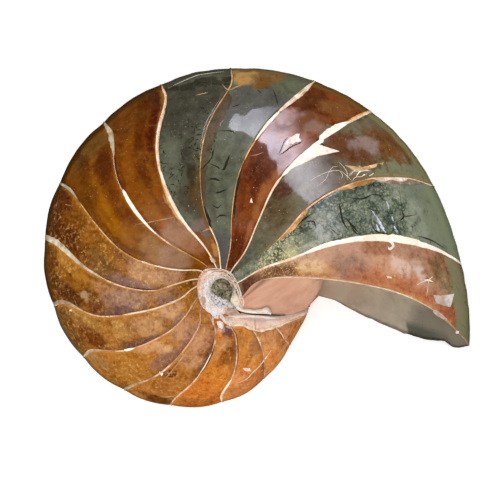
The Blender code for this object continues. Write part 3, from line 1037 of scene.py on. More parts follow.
def septum_strand(number, kind, start, end, side, widths_in_tenths, lift):
    """One strand of a septum's line over the flank."""
    first = math.asin(start)
    last = math.asin(end)
    points = max(int(STRAND_POINTS * (last - first) / (math.pi / 2.0)), LEAST_POINTS)
    outs = [math.sin(mix(first, last, i / points)) for i in range(points + 1)]
    steps = [mix(start, end, i / (len(widths_in_tenths) - 1)) for i in range(len(widths_in_tenths))]
    unevenness = BAND_RAGGED if kind in BROAD_KINDS else RAGGED

    def halves(share, point):
        out = math.sin(mix(first, last, share))
        width = max(smooth_through(steps, widths_in_tenths, out), LEAST_TENTHS) * TENTH
        if start > 0.0:
            width *= min(share * STRAND_TAPER, 1.0)
        if end < 1.0:
            width *= min((1.0 - share) * STRAND_TAPER, 1.0)
        front = width * (1.0 - side) / 2.0 * ragged(point, unevenness)
        behind = width * (1.0 + side) / 2.0 * ragged(point + BESIDE, unevenness)
        return front + LEAST_HALF, behind + LEAST_HALF

    return surface_strip(lambda out: septum_angle(number, out), outs, halves, lift)


def section_strip(number, width):
    """The line of one septum over the cut face, from the outer wall to the inner one."""

    def path(share):
        return section_place(*section_line(number, share)), Vector((0.0, 0.0, -1.0))

    def widths(share):
        return width, width

    return line_strip(path, widths, CUT_POINTS, CUT_RECESS, EDGE_DEPTH)


for number, strands in enumerate(EDGE_STRANDS):
    kinds = []
    edge = bmesh.new()
    for order, (kind, start, end, side, widths_in_tenths) in enumerate(strands):
        if kind not in kinds:
            kinds.append(kind)
        lift = (BAND_LIFT if kind in BROAD_KINDS else EDGE_LIFT) + STRAND_STEP * order
        strand = septum_strand(number, kind, start, end, side, widths_in_tenths, lift)
        join_in(edge, strand, kinds.index(kind))
    if number > 0:
        join_in(edge, section_strip(number, CUT_WIDTH))
    finished_piece("septum_edge_%02d" % (number + 1), edge, [EDGE_FINISHES[kind] for kind in kinds])


# Marks of the polished face. Flakes of shell show as white and cream chips, shrinkage
# cracks in the mudstone as short black lines, wear as fine pale scratches, and painted
# glints of the window as bluish white streaks. Each is a thin inlay in the fillings, at
# places measured on the table, in millimetres.

MILLIMETRE = 0.001
SPOT_ROUNDS = 14
LAP_START = -17.0
FLAKE_COLUMNS = 48
FLAKE_ROWS = 8
FLAKE_DEPTH = 0.0002
FLAKE_LIFT = 0.00004
FLAKE_JAGGED = 0.12
FLAKE_JAGS = 2.3
MARK_LIFT = 0.00002
MARK_TAPER = 5.0
MARK_LEAST = 0.000012

# A line's two sides are uneven in their own ways, because the second one's
# unevenness is read at a place this many times as far out
MARK_BEYOND = 1.3


def flank_spot(x, y):
    """Angle and distance out of the place on the flank above a point of the table."""
    point = Vector((x, y)) * MILLIMETRE
    out = 0.5
    for _ in range(SPOT_ROUNDS):
        offset = point - UMBILICUS_CENTRE.lerp(COIL_CENTRE, out)
        angle = math.degrees(math.atan2(offset.y, offset.x))
        if angle < LAP_START:
            angle += TURN
        rim = umbilicus_radius(angle)
        out = (offset.length - rim) / (coil_radius(angle) - rim)
        out = min(max(out, 0.0), 1.0)
    return angle, out


def chip_spot(corners, column, share, jagged, jags):
    """A point of a chip, from its middle (0) to its edge (1), in millimetres. Its edge is
    jagged by so much, with so many jags to the millimetre."""
    centre = sum(corners, Vector((0.0, 0.0))) / len(corners)
    turn = column / FLAKE_COLUMNS * len(corners)
    index = int(turn) % len(corners)
    edge = corners[index].lerp(corners[(index + 1) % len(corners)], turn - int(turn))
    wear = jagged * noise.noise(Vector((edge.x, edge.y, 0.0)) * jags) * share
    return centre.lerp(edge, share) + (edge - centre).normalized() * wear


def flake(corners):
    """A flat chip set in the fillings, with these corners."""
    corners = [Vector(corner) for corner in corners]

    def place(column, row):
        share = min(row / FLAKE_ROWS, 1.0)
        angle, out = flank_spot(*chip_spot(corners, column, share, FLAKE_JAGGED, FLAKE_JAGS))
        height = -FLAKE_DEPTH if row > FLAKE_ROWS else FLAKE_LIFT
        return surface_place(angle, out) + flank_up(angle, out) * height, (column / FLAKE_COLUMNS, share)

    return closed_grid(FLAKE_COLUMNS, FLAKE_ROWS + 1, place)


def smooth_along(values, share):
    """Value this share of the way along a smooth curve through values at equal steps."""
    return smooth_through([i / (len(values) - 1) for i in range(len(values))], values, share)


def mark_line(points, widths_in_tenths, uneven, steps_each):
    """A fine line in the fillings through these points, tapered at its ends."""

    @lru_cache(maxsize=None)
    def path(share):
        angle, out = flank_spot(*[smooth_along(values, share) for values in zip(*points)])
        return surface_place(angle, out), flank_up(angle, out)

    def widths(share):
        here = path(share)[0]
        taper = min(share * MARK_TAPER, (1.0 - share) * MARK_TAPER, 1.0)
        width = smooth_along(widths_in_tenths, share) * TENTH / 2.0 * taper + MARK_LEAST
        return width * ragged(here, uneven), width * ragged(here * MARK_BEYOND, uneven)

    return line_strip(path, widths, steps_each * len(points), MARK_LIFT, FLAKE_DEPTH)


def marks(name, meshes, finish):
    """One piece from like marks."""
    joined = bmesh.new()
    for mesh in meshes:
        join_in(joined, mesh)
    finished_piece(name, joined, [finish])


WHITE_FLAKES = (
    (
        (5.9, 14.2), (9.0, 16.9), (12.0, 19.6), (13.9, 21.2), (18.9, 19.6), (15.0, 19.0), (12.2, 17.6),
        (8.2, 15.7),
    ),
    (
        (7.6, 22.7), (9.1, 23.7), (9.7, 23.6), (9.5, 22.7), (10.1, 21.9), (8.9, 21.7), (8.1, 21.2),
        (7.5, 21.5),
    ),
    ((-1.7, 7.8), (-1.3, 8.9), (-1.0, 7.8)),
    ((45.9, -21.6), (46.5, -21.6), (46.5, -22.2), (46.0, -22.2)),
    ((-3.3, -30.1), (-1.7, -30.1), (-1.5, -30.8), (-2.9, -30.8)),
    ((-43.3, -16.6), (-42.8, -16.7), (-42.8, -17.1), (-43.3, -17.0)),
    ((29.3, -8.8), (30.4, -9.0), (30.6, -9.4), (29.6, -9.3)),
    ((-22.5, -30.9), (-21.6, -31.3), (-21.9, -31.9), (-22.5, -31.5)),
)
PALE_CHIPS = (
    ((40.3, -13.2), (42.0, -13.4), (45.4, -13.0), (44.5, -16.0), (43.4, -15.9), (40.9, -15.1)),
    ((40.2, -16.5), (41.3, -16.9), (42.6, -17.9), (43.7, -18.8), (42.9, -18.9), (41.5, -18.2), (40.4, -17.3)),
    ((5.6, 19.1), (6.2, 21.3), (7.6, 22.9), (7.7, 21.3), (6.7, 19.9)),
)
CREAM_FLAKES = (
    ((20.0, 16.4), (22.4, 15.9), (25.4, 16.1), (27.6, 16.9), (27.2, 16.0), (24.0, 15.1), (21.6, 15.4)),
    ((27.9, 16.9), (29.0, 17.2), (28.8, 16.5)),
    ((30.4, -8.4), (31.6, -8.7), (31.2, -9.2)),
)
BLACK_CRACKS = (
    (((-6.2, 18.9), (-6.7, 17.6), (-7.5, 15.6), (-8.1, 15.4)), (2, 5, 5, 2)),
    (((-11.0, 13.2), (-9.8, 13.2), (-8.3, 12.8)), (4, 5, 2)),
    (((-9.8, 9.9), (-8.4, 10.3), (-6.9, 10.9)), (1, 4, 2)),
    (((-11.1, 16.9), (-9.1, 16.0), (-8.5, 15.5)), (1, 3, 2)),
    (((-5.8, 29.8), (-4.8, 30.1), (-3.7, 30.5)), (1, 2, 1)),
    (((0.0, 33.9), (1.0, 33.0)), (2, 2)),
    (((3.7, 33.9), (4.3, 32.2), (4.8, 30.2)), (2, 3, 2)),
    (((-9.2, 24.2), (-6.2, 24.2), (-4.8, 23.5)), (1, 2, 1)),
    (((-12.6, 14.0), (-12.3, 8.0), (-10.9, 3.6), (-10.2, 0.6)), (2, 4, 6, 2)),
    (((-9.6, 21.0), (-10.5, 17.9), (-12.3, 15.6), (-12.5, 12.0)), (2, 3, 4, 2)),
    (((-2.0, 19.6), (-3.7, 15.4), (-5.0, 8.2), (-5.3, 3.0)), (2, 5, 5, 2)),
    (((-10.4, 7.4), (-9.0, 6.6), (-8.2, 7.4)), (1, 3, 1)),
    (((-9.4, 4.2), (-8.2, 5.0), (-6.8, 4.8)), (1, 3, 1)),
    (((10.8, 3.5), (12.8, 3.5), (13.3, 1.9)), (1, 3, 1)),
    (((8.9, 2.3), (10.4, 3.9), (12.1, 5.1)), (1, 4, 2)),
    (((16.7, 1.9), (18.6, 0.3)), (1, 1)),
    (((20.8, 3.2), (22.5, 0.9), (23.8, 0.7)), (1, 3, 1)),
    (((18.6, 8.2), (19.0, 5.7), (19.6, 3.2), (20.8, 1.4)), (1, 4, 3, 1)),
    (((32.6, 11.5), (33.1, 6.2), (33.5, 4.6), (31.7, 3.2)), (0.5, 2, 3, 1)),
    (((33.5, 4.6), (36.5, 5.2)), (2, 0.5)),
    (((20.0, 9.1), (23.8, 8.7), (26.5, 9.7), (29.0, 9.3)), (1, 3, 2, 1)),
    (((36.4, 0.3), (39.8, -0.6), (43.3, -2.6)), (1, 3, 1)),
    (((19.9, 4.5), (21.5, 2.7), (23.1, 0.9)), (2, 4, 2)),
    (((24.4, 12.0), (27.6, 13.2), (31.0, 12.8), (33.4, 13.4)), (1, 3, 4, 1)),
    (((25.6, 3.6), (27.0, 1.4), (29.6, 0.6), (32.2, 0.6)), (1, 3, 4, 1)),
    (((13.2, 22.4), (15.5, 20.8), (18.4, 18.5)), (1, 2, 1)),
    (((4.7, 18.5), (5.5, 20.1), (6.2, 21.8), (7.4, 23.3)), (0.5, 1.5, 1.5, 0.5)),
    (((4.8, 18.5), (6.4, 19.5), (8.0, 20.7), (9.6, 21.4), (10.4, 22.1)), (1, 2.5, 2, 2.5, 1)),
    (((-5.8, -4.4), (-5.4, -7.0), (-6.0, -8.8)), (1, 3, 2)),
    (((-17.6, 33.6), (-16.0, 34.0)), (1, 2)),
)

# Small black branching cracks: where each one is and how far it reaches
TWIG_LINES = 6
TWIG_BENDS = 3
TWIG_WIDEST = ((0.6, 2.0), (0.8, 2.4))
TWIG_TIP = 0.6
TWIG_SEED = 31.0
TWIG_LENGTHS = (0.4, 1.0)
TWIG_RIGHT = 0.7
TWIG_UP = 0.9
TWIG_TURN = 0.8
TWIGS = (
    (-14.2, 24.0, 1.3), (-14.7, 22.5, 1.2), (-13.9, 21.2, 1.1), (-13.4, 19.8, 0.9), (-15.3, 20.8, 0.8),
    (-13.8, 18.0, 0.9), (-13.2, 16.2, 0.7), (-21.8, 16.3, 1.5), (-19.7, 14.9, 1.2), (-17.7, 15.8, 1.0),
    (-18.2, 12.7, 1.4), (-20.6, 11.6, 1.0), (-16.3, 10.9, 1.0), (-16.9, 18.2, 0.8), (-22.1, 19.9, 1.0),
    (-12.0, 28.6, 0.9), (-18.9, 9.2, 0.9), (-15.4, 26.0, 0.7), (-9.9, 22.6, 0.8), (-10.6, 19.8, 0.8),
)


def twig(x, y, reach):
    """Lines of one branching crack: their points and their widths in tenths."""
    draws = random.Random(x * TWIG_SEED + y)
    lines = []
    for _ in range(TWIG_LINES):
        turn = draws.uniform(0.0, math.tau)
        length = reach * draws.uniform(*TWIG_LENGTHS)
        right = draws.uniform(-TWIG_RIGHT, TWIG_RIGHT) * reach
        up = draws.uniform(-TWIG_UP, TWIG_UP) * reach
        points = [(x + right, y + up)]
        for _ in range(TWIG_BENDS):
            turn += draws.uniform(-TWIG_TURN, TWIG_TURN)
            right = math.cos(turn) * length / TWIG_BENDS
            up = math.sin(turn) * length / TWIG_BENDS
            points.append((points[-1][0] + right, points[-1][1] + up))
        widths = [draws.uniform(least, most) for least, most in TWIG_WIDEST]
        lines.append((points, (*widths, TWIG_TIP)))
    return lines


PALE_LINES = (
    (((39.3, -9.5), (39.0, -13.0)), (1, 1)),
    (((38.3, -8.2), (40.0, -10.0)), (1, 2)),
    (((36.9, -12.0), (38.9, -11.2), (40.4, -9.2)), (1, 1, 1)),
    (((-28.1, 2.8), (-24.5, 3.4), (-18.5, 4.6)), (1, 2, 1)),
    (((-44.2, 7.5), (-42.7, 7.2)), (1, 1)),
    (((-14.3, 32.5), (-11.3, 33.2)), (2, 2)),
    (((-1.9, 18.5), (-0.3, 18.7), (1.6, 19.4)), (1, 2, 1)),
    (((-21.6, -33.0), (-18.9, -29.9), (-16.1, -26.2)), (1, 2, 2)),
    (((-12.6, 1.2), (-10.9, 1.9), (-9.8, 1.4)), (2, 4, 3)),
    (((16.4, 9.8), (18.8, 10.8), (20.2, 12.6)), (1, 1, 1)),
    (((-8.2, 35.4), (-6.6, 34.0), (-4.4, 34.8), (-3.2, 35.4)), (2, 3, 3, 1)),
    (((-6.5, 34.1), (-7.2, 33.0)), (3, 2)),
)
WHITE_LINES = (
    (((29.4, -0.8), (30.7, -1.4), (30.9, -2.3), (30.1, -2.7), (29.7, -2.1)), (3, 6, 6, 5, 2)),
    (((21.1, 13.9), (22.3, 15.3), (23.7, 15.8)), (1, 2, 1)),
    (((22.3, 13.4), (23.4, 14.9), (24.6, 15.3), (26.0, 15.1)), (1, 3, 3, 1)),
    (((23.7, 13.7), (24.6, 14.4)), (1, 3)),
    (((23.2, 16.3), (24.1, 15.3)), (1, 2)),
    (((25.5, 13.9), (26.7, 14.6)), (1, 2)),
    (
        ((3.3, -25.9), (1.9, -28.1), (0.5, -29.8), (-1.2, -31.3), (-2.5, -32.7), (-4.7, -33.7)),
        (2, 3, 2, 2, 2, 1),
    ),
    (((-7.6, 38.5), (-13.2, 37.6), (-15.5, 36.8), (-20.6, 34.6)), (2, 2, 2, 1)),
    (
        ((12.0, 12.8), (13.9, 13.9), (16.4, 14.9), (18.8, 15.1), (20.7, 13.7), (21.9, 12.4)),
        (0.4, 0.6, 0.8, 0.5, 0.9, 0.4),
    ),
    (((18.6, 17.2), (19.8, 15.9), (20.5, 14.6), (20.5, 12.9)), (0.4, 0.6, 1.0, 0.5)),
    (((20.7, 13.7), (21.7, 14.9), (23.7, 15.1), (25.6, 15.3)), (1.2, 0.5, 1.5, 0.6)),
    (((14.2, 12.0), (15.6, 13.2), (16.4, 14.9)), (0.4, 0.6, 0.4)),
    (((16.4, 14.9), (17.2, 15.9), (18.4, 16.2)), (0.4, 0.6, 0.4)),
    (((18.8, 15.1), (19.4, 14.2), (19.2, 13.3)), (0.6, 0.8, 0.4)),
    (((21.6, 12.7), (22.4, 13.6), (23.9, 13.9), (25.2, 14.5)), (0.5, 1.2, 0.8, 1.4)),
    (((37.8, -9.8), (39.2, -9.8), (40.5, -10.3)), (1, 3, 1)),
    (((39.2, -9.8), (40.2, -9.0)), (2, 1)),
    (((39.2, -9.8), (39.0, -11.5), (38.6, -13.6)), (2, 1, 1)),
    (((36.2, -11.0), (37.6, -10.3), (39.2, -9.8)), (1, 1, 2)),
)
# Painted glints of the window: bluish white streaks on the rough stone
WINDOW_GLINTS_PAINTED = (
    (((25.8, 6.3), (26.9, 4.9), (28.1, 2.9), (29.4, 0.9)), (3, 6, 8, 7)),
    (((29.5, 8.5), (30.1, 6.2)), (2, 3)),
    (((30.7, 4.9), (31.1, 3.6)), (2, 4)),
    (((31.1, 2.6), (32.1, 1.0)), (3, 6)),
    (((27.0, 3.0), (27.8, 1.2)), (2, 4)),
)
white_flake = nacre_finish("white_flake", (250, 238, 224), (255, 252, 246), (216, 184, 160), 31.0)
cream_flake = nacre_finish("cream_flake", (218, 180, 130), (246, 224, 182), (160, 116, 70), 33.0)
chip_finish = nacre_finish("pale_chip", (204, 188, 180), (224, 214, 210), (170, 140, 122), 35.0)
scratch_finish = nacre_finish("scratch", (172, 134, 96), (198, 166, 134), (140, 100, 66), 37.0)
# Finish of the painted window glints
painted_glint_finish = nacre_finish("painted_window_glint", (176, 182, 196), (226, 230, 240), (96, 108, 110), 39.0)
crack_finish = Finish("black_crack", 0.7, 0.0)
crack_tone = crack_finish.cloud(0.0008, 1.0, 3.0, 0.6)
crack_finish.feed("Base Color", crack_finish.blend(crack_tone, paint(30, 30, 24), paint(66, 62, 48)))
crack_finish.feed("Roughness", crack_finish.step(crack_tone, 0.2, 0.8, 0.55, 0.85))
marks("white_flakes", [flake(corners) for corners in WHITE_FLAKES], white_flake)
marks("cream_flakes", [flake(corners) for corners in CREAM_FLAKES], cream_flake)
marks("pale_chip", [flake(corners) for corners in PALE_CHIPS], chip_finish)

# The kinds of line: name, lines, how uneven their widths are, steps for each point, finish
twig_lines = [line for spot in TWIGS for line in twig(*spot)]
for name, lines, uneven, steps_each, finish in (
    ("black_cracks", BLACK_CRACKS, 0.6, 12, crack_finish),
    ("black_twigs", twig_lines, 1.0, 5, crack_finish),
    ("pale_lines", PALE_LINES, 0.6, 12, scratch_finish),
    ("white_lines", WHITE_LINES, 0.6, 12, white_flake),
    ("painted_window_glints", WINDOW_GLINTS_PAINTED, 1.2, 12, painted_glint_finish),
):
    marks(name, [mark_line(*line, uneven, steps_each) for line in lines], finish)


# Last septum. The wall that closed the youngest chamber is free in front: a smooth
# pink sheet rises from its seat on the whorl below, folds, and hollows back to its
# edge on the flank. It is a thin sheet of nacre, broken off along the cut face.

SEPTUM_THICKNESS = 0.0001
SEAT_COLUMNS = 16
HOLLOW_COLUMNS = 44
LAST_ROWS = 60
SALMON = paint(240, 196, 170)
ROSE = paint(222, 174, 148)
PAINTED_CREASE_SHADE = paint(156, 128, 112)
TAUPE = paint(196, 150, 126)
GREY_TAUPE = paint(172, 154, 134)
STONE_GREY = paint(126, 118, 104)
PAINTED_HOLLOW_SHADOW = paint(84, 86, 76)
SHADE_BROWN = paint(112, 78, 60)
BRUSH_TURN = 26.0


def last_septum_finish():
    """Smooth pink nacre on the seat side, turning grey-brown in the hollow, with painted shade along the fold
    and near the umbilicus towards the free edge, and a painted shadow in the hollow.
    """
    nacre = Finish("septum_nacre", 0.34, 0.3)
    across, out = nacre.parts(nacre.chart())
    broad = nacre.cloud(0.0075, 2.0, 3.0, 0.5)
    fine = nacre.cloud(0.0011, 4.0, 4.0, 0.6)
    brushed = nacre.brushed(0.012, 0.0022, BRUSH_TURN, 6.0)
    pink = nacre.blend(nacre.step(brushed, 0.24, 0.78), ROSE, SALMON)
    # Painted shade: the pink darkens towards the fold.
    pink = nacre.lay(pink, PAINTED_CREASE_SHADE, across, 0.70, 1.02, 0.85)
    along = nacre.part(nacre.stone_place(), "X") + (broad - 0.5) * 0.010
    grey = nacre.blend(nacre.step(along, 0.018, 0.032), TAUPE, GREY_TAUPE)
    mottle = nacre.cloud(0.0042, 9.0, 3.0, 0.55)
    grey = nacre.lay(grey, paint(194, 172, 148), mottle, 0.50, 0.64, 0.8)
    grey = nacre.lay(grey, paint(146, 122, 104), mottle, 0.46, 0.34, 0.7)
    # Painted shade: the grey darkens towards the fold.
    grey = nacre.lay(grey, PAINTED_CREASE_SHADE, across, 1.08, 0.99, 0.7)
    grey = nacre.lay(grey, paint(152, 148, 134), out, 0.70, 0.96, 0.6)
    grey = nacre.lay(grey, STONE_GREY, along, 0.0345, 0.0395)
    jag = (fine - 0.5) * 0.03
    # A painted shadow: a dark grey patch in the hollow, with a crisp upper edge.
    patch = nacre.step(across + jag, 1.585, 1.61) * nacre.step(across + jag, 1.96, 1.70)
    patch = patch * nacre.step(out + jag * 0.3, 0.957, 0.982)
    grey = nacre.blend(patch * 0.9, grey, PAINTED_HOLLOW_SHADOW)
    colour = nacre.blend(nacre.step(across + (broad - 0.5) * 0.1, 0.99, 1.03), pink, grey)
    near = nacre.step(out, 0.24, 0.13)
    colour = nacre.blend(near * nacre.step(across, 1.02, 1.10), colour, ROSE)
    colour = nacre.blend(near * nacre.step(across, 1.45, 1.92), colour, SHADE_BROWN)
    colour = nacre.deepen(nacre.step(out, 0.988, 0.998, 0.0, 0.6), colour, (0.30, 0.27, 0.26, 1.0))
    scratches = nacre.step(nacre.brushed(0.016, 0.0006, BRUSH_TURN, 8.0), 0.60, 0.74, 0.0, 0.30)
    colour = nacre.blend(scratches * nacre.step(across, 0.98, 0.90), colour, paint(246, 214, 192))
    colour = nacre.deepen(nacre.step(fine, 0.46, 0.28, 0.0, 0.2), colour, (0.7, 0.62, 0.56, 1.0))
    nacre.feed("Base Color", colour)
    nacre.feed("Roughness", nacre.step(fine, 0.3, 0.7, 0.26, 0.44))
    nacre.relief(fine * 0.3 + brushed, 0.10, 0.0003)
    return nacre


def last_septum_place(column, row):
    """A point of the last septum, in columns from its free edge back to its seat."""
    out = math.sin(math.pi / 2.0 * row / LAST_ROWS)
    if column <= HOLLOW_COLUMNS:
        across = 1.0 - column / HOLLOW_COLUMNS
        return hollow_place(across, out), (1.0 + across, out)
    across = 1.0 - (column - HOLLOW_COLUMNS) / SEAT_COLUMNS
    return seat_place(across, out), (across, out)


last_septum = bent_grid(HOLLOW_COLUMNS + SEAT_COLUMNS, LAST_ROWS, last_septum_place)
finished_piece("last_septum", last_septum, [last_septum_finish()], SEPTUM_THICKNESS)


# Pale band. Below its seat the last septum leaves a pale pink skirt of shell on the
# whorl, with a cream lower edge, a broken white rim and a dark crack along the seat.

BAND_STATIONS = (
    0.0, 0.08, 0.173, 0.2, 0.246, 0.324, 0.403, 0.451, 0.535, 0.603, 0.69, 0.785, 0.887, 0.967, 1.0,
)
BAND_ANGLES = (
    290.0, 290.0, 292.5, 298.5, 304.2, 308.6, 311.9, 314.4, 319.2, 323.0, 327.6, 332.6, 336.7, 339.3, 340.5,
)
SKIRT_LIFT = 0.00012
SKIRT_SUNK = 0.00002
SKIRT_COLUMNS = 14
SKIRT_ROWS = 90
SKIRT_SQUARE = 6
BAND_LEAST = 0.5
BAND_PINK = paint(236, 198, 180)
BAND_CREAM = paint(240, 216, 198)
BAND_GREY = paint(206, 184, 176)
BAND_ROSE = paint(202, 158, 138)


def band_edge(out):
    """Angle of the pale band's lower edge."""
    return min(smooth_through(BAND_STATIONS, BAND_ANGLES, out), septum_angle(SEAT, out) - BAND_LEAST)


def band_place(column, row):
    """A point of the pale band, from its seat down to its lower edge."""
    out = row / SKIRT_ROWS
    share = column / SKIRT_COLUMNS
    angle = mix(septum_angle(SEAT, out), band_edge(out), share)
    lift = SKIRT_LIFT * math.sqrt(max(1.0 - (2.0 * share - 1.0) ** SKIRT_SQUARE, 0.0))
    return surface_place(angle, out) + flank_up(angle, out) * (lift - SKIRT_SUNK), (share, out)


band = bent_grid(SKIRT_COLUMNS, SKIRT_ROWS, band_place)
band_finish = Finish("band_nacre", 0.40, 0.15)
band_broad = band_finish.cloud(0.0035, 15.0, 3.0, 0.55)
band_fine = band_finish.cloud(0.0008, 16.0, 4.0, 0.6)
band_share = band_finish.part(band_finish.chart(), "X")
band_colour = band_finish.blend(band_finish.step(band_broad, 0.38, 0.62), BAND_PINK, BAND_CREAM)
band_upper = band_finish.step(band_share + (band_broad - 0.5) * 0.5, 0.55, 0.40, 0.0, 0.85)
band_colour = band_finish.blend(band_upper, band_colour, BAND_GREY)
band_colour = band_finish.lay(band_colour, BAND_ROSE, band_fine, 0.50, 0.32, 0.6)
band_finish.feed("Base Color", band_colour)
band_finish.relief(band_fine, 0.3, 0.0002)
finished_piece("pale_band", band, [band_finish], SKIRT_LIFT * 2.0)


BAND_LINE_POINTS = 90
BAND_LINE_LEAST = 0.1
BAND_LINE_RAGGED = 0.4
BAND_LINE_BEYOND = 1.2


def line_on_band(angle_at, start, end, front, behind, lift):
    """A strip over the whorl's flank. front and behind are its widths in tenths at equal steps."""

    def halves(share, point):
        before = max(smooth_along(front, share), BAND_LINE_LEAST) * TENTH
        after = max(smooth_along(behind, share), BAND_LINE_LEAST) * TENTH
        far = point * BAND_LINE_BEYOND
        return before * ragged(point, BAND_LINE_RAGGED), after * ragged(far, BAND_LINE_RAGGED)

    outs = [mix(start, end, i / BAND_LINE_POINTS) for i in range(BAND_LINE_POINTS + 1)]
    return surface_strip(angle_at, outs, halves, lift)


def seat_angle(out):
    """Angle of the last septum's seat."""
    return septum_angle(SEAT, out)


BAND_LIP_OUTS = (0.0, 0.93)
BAND_LIP_WIDTHS = ((3, 4, 5, 5, 5, 3, 2), (2, 2, 2, 2, 2, 2, 1))
SEAT_CRACK_OUTS = (0.05, 0.70)
SEAT_CRACK_WIDTHS = ((1, 1, 1, 1, 1, 0), (1, 1, 1, 1, 1, 0))
band_lip = line_on_band(band_edge, *BAND_LIP_OUTS, *BAND_LIP_WIDTHS, SKIRT_LIFT * 1.4)
finished_piece("band_lip", band_lip, [EDGE_FINISHES["cream"]])
seat_crack = line_on_band(seat_angle, *SEAT_CRACK_OUTS, *SEAT_CRACK_WIDTHS, SKIRT_LIFT * 2.6)
finished_piece("seat_crack", seat_crack, [crack_finish])

RIM_PIECE_START = 0.02
RIM_PIECE_END = 0.50
RIM_PIECE_GAP = 0.025
RIM_PIECE_WIDTHS = (0.32, 0.12, 0.08, 0.07, 0.12, 0.09, 0.01)
RIM_PIECE_RAGGED = 0.5
RIM_PIECE_HEIGHT = 0.00030
RIM_PIECE_FOOT = 0.00004
RIM_PIECE_LEAN = Vector((0.0, -0.3, 1.0))
RIM_PIECE_THICKNESS = 0.0002
RIM_PIECE_COLUMNS = 5
RIM_PIECE_ROWS = 70
HUMP_START = 0.15
HUMP_SPAN = 0.7


def rim_piece_place(column, row):
    """A point of the white broken rim that stands along the foot of the pink sheet."""
    share = row / RIM_PIECE_ROWS
    out = mix(RIM_PIECE_START, RIM_PIECE_END, share)
    width = smooth_along(RIM_PIECE_WIDTHS, share) * ragged(seat_place(0.0, out), RIM_PIECE_RAGGED)
    point = seat_place(RIM_PIECE_GAP + width * column / RIM_PIECE_COLUMNS, out)
    hump = math.sin(math.pi * (HUMP_START + HUMP_SPAN * column / RIM_PIECE_COLUMNS))
    height = RIM_PIECE_HEIGHT * hump + RIM_PIECE_FOOT
    return point + RIM_PIECE_LEAN * height, (column / RIM_PIECE_COLUMNS, share)


broken_rim = bent_grid(RIM_PIECE_COLUMNS, RIM_PIECE_ROWS, rim_piece_place)
bmesh.ops.recalc_face_normals(broken_rim, faces=broken_rim.faces)
rim_finish = nacre_finish("rim_piece", (252, 244, 236), (255, 254, 250), (220, 196, 176), 9.0)
finished_piece("seat_rim_piece", broken_rim, [rim_finish], RIM_PIECE_THICKNESS)


# Umbilicus. The coil's middle is a round pit. Its wall shows the edges of the older
# whorls as fine threads with painted shadow lines between them, and rough stone plugs
# the bottom, ringed by white crust.

PLUG_CENTRE = Vector((-0.0082, -0.0128, 0.0090))
PLUG_WIDE = 0.0029
PLUG_LONG = 0.0037
PLUG_BURIED = 0.0004
PIT_FOOT = 0.9
PIT_WAVE = 0.00005
WAVES_DOWN = 30.0
WAVES_ROUND = 14.0
WAVES_STRAY = 3.0
STRAY_GRAIN = 0.003
PIT_LUMPS = ((0.00022, 0.0014), (0.00012, 0.0005))
PIT_COLUMNS = 180
PIT_ROWS = 22
PIT_THICKNESS = 0.0003
SEAT_TURN = 0.92
FOLD_TURN = 0.96


def pit_rim(turn):
    """A point of the pit's rim, once round from the last septum's edge (0) to it again (1)."""
    if turn < SEAT_TURN:
        return flank_place(mix(septum_angle(0, 0.0), septum_angle(SEAT, 0.0), turn / SEAT_TURN), 0.0)
    if turn < FOLD_TURN:
        return seat_place((turn - SEAT_TURN) / (FOLD_TURN - SEAT_TURN), 0.0)
    return hollow_place((turn - FOLD_TURN) / (1.0 - FOLD_TURN), 0.0)


def plug_reach(way):
    """Distance from the plug's centre to its edge this way."""
    return 1.0 / math.hypot(way.x / PLUG_WIDE, way.y / PLUG_LONG)


def pit_point(turn, depth):
    """A point of the pit's wall, from its rim (0) down to the plug (1)."""
    rim = pit_rim(turn)
    outward = Vector((rim.x - PLUG_CENTRE.x, rim.y - PLUG_CENTRE.y, 0.0)).normalized()
    foot = PLUG_CENTRE + outward * plug_reach(outward) * PIT_FOOT - Vector((0.0, 0.0, PLUG_BURIED))
    point = rim.lerp(foot, depth)
    stray = WAVES_STRAY * noise.noise(point / STRAY_GRAIN)
    wave = PIT_WAVE * math.sin(depth * WAVES_DOWN + WAVES_ROUND * turn + stray)
    lumps = lumps_at(point, PIT_LUMPS)
    return point + outward * (wave + lumps) * math.sin(math.pi * min(depth, 1.0))


def pit_place(column, row):
    """A point of the pit's wall and its chart place."""
    turn = column / PIT_COLUMNS
    depth = row / PIT_ROWS
    return pit_point(turn, depth), (turn, depth)


PIT_PATCHES = (
    ((176, 84, 54), 35, 3, 6, 14, 85, 60), ((210, 136, 84), 44, 5, 6, 20, 80, 60),
    ((250, 228, 212), 46, 36, 10, 24, 75, 70), ((254, 248, 242), 32, 36, 10, 20, 95, 45),
    ((254, 248, 242), 60, 34, 2, 20, 80, 40), ((232, 160, 116), 52, 2, 20, 10, 70, 80),
    ((254, 248, 242), 76, 55, 7.5, 60, 90, 50), ((226, 196, 180), 64, 20, 5, 30, 70, 70),
    ((150, 112, 88), 8, 40, 16, 60, 80, 50), ((226, 180, 150), 27, 30, 5, 30, 80, 60),
)


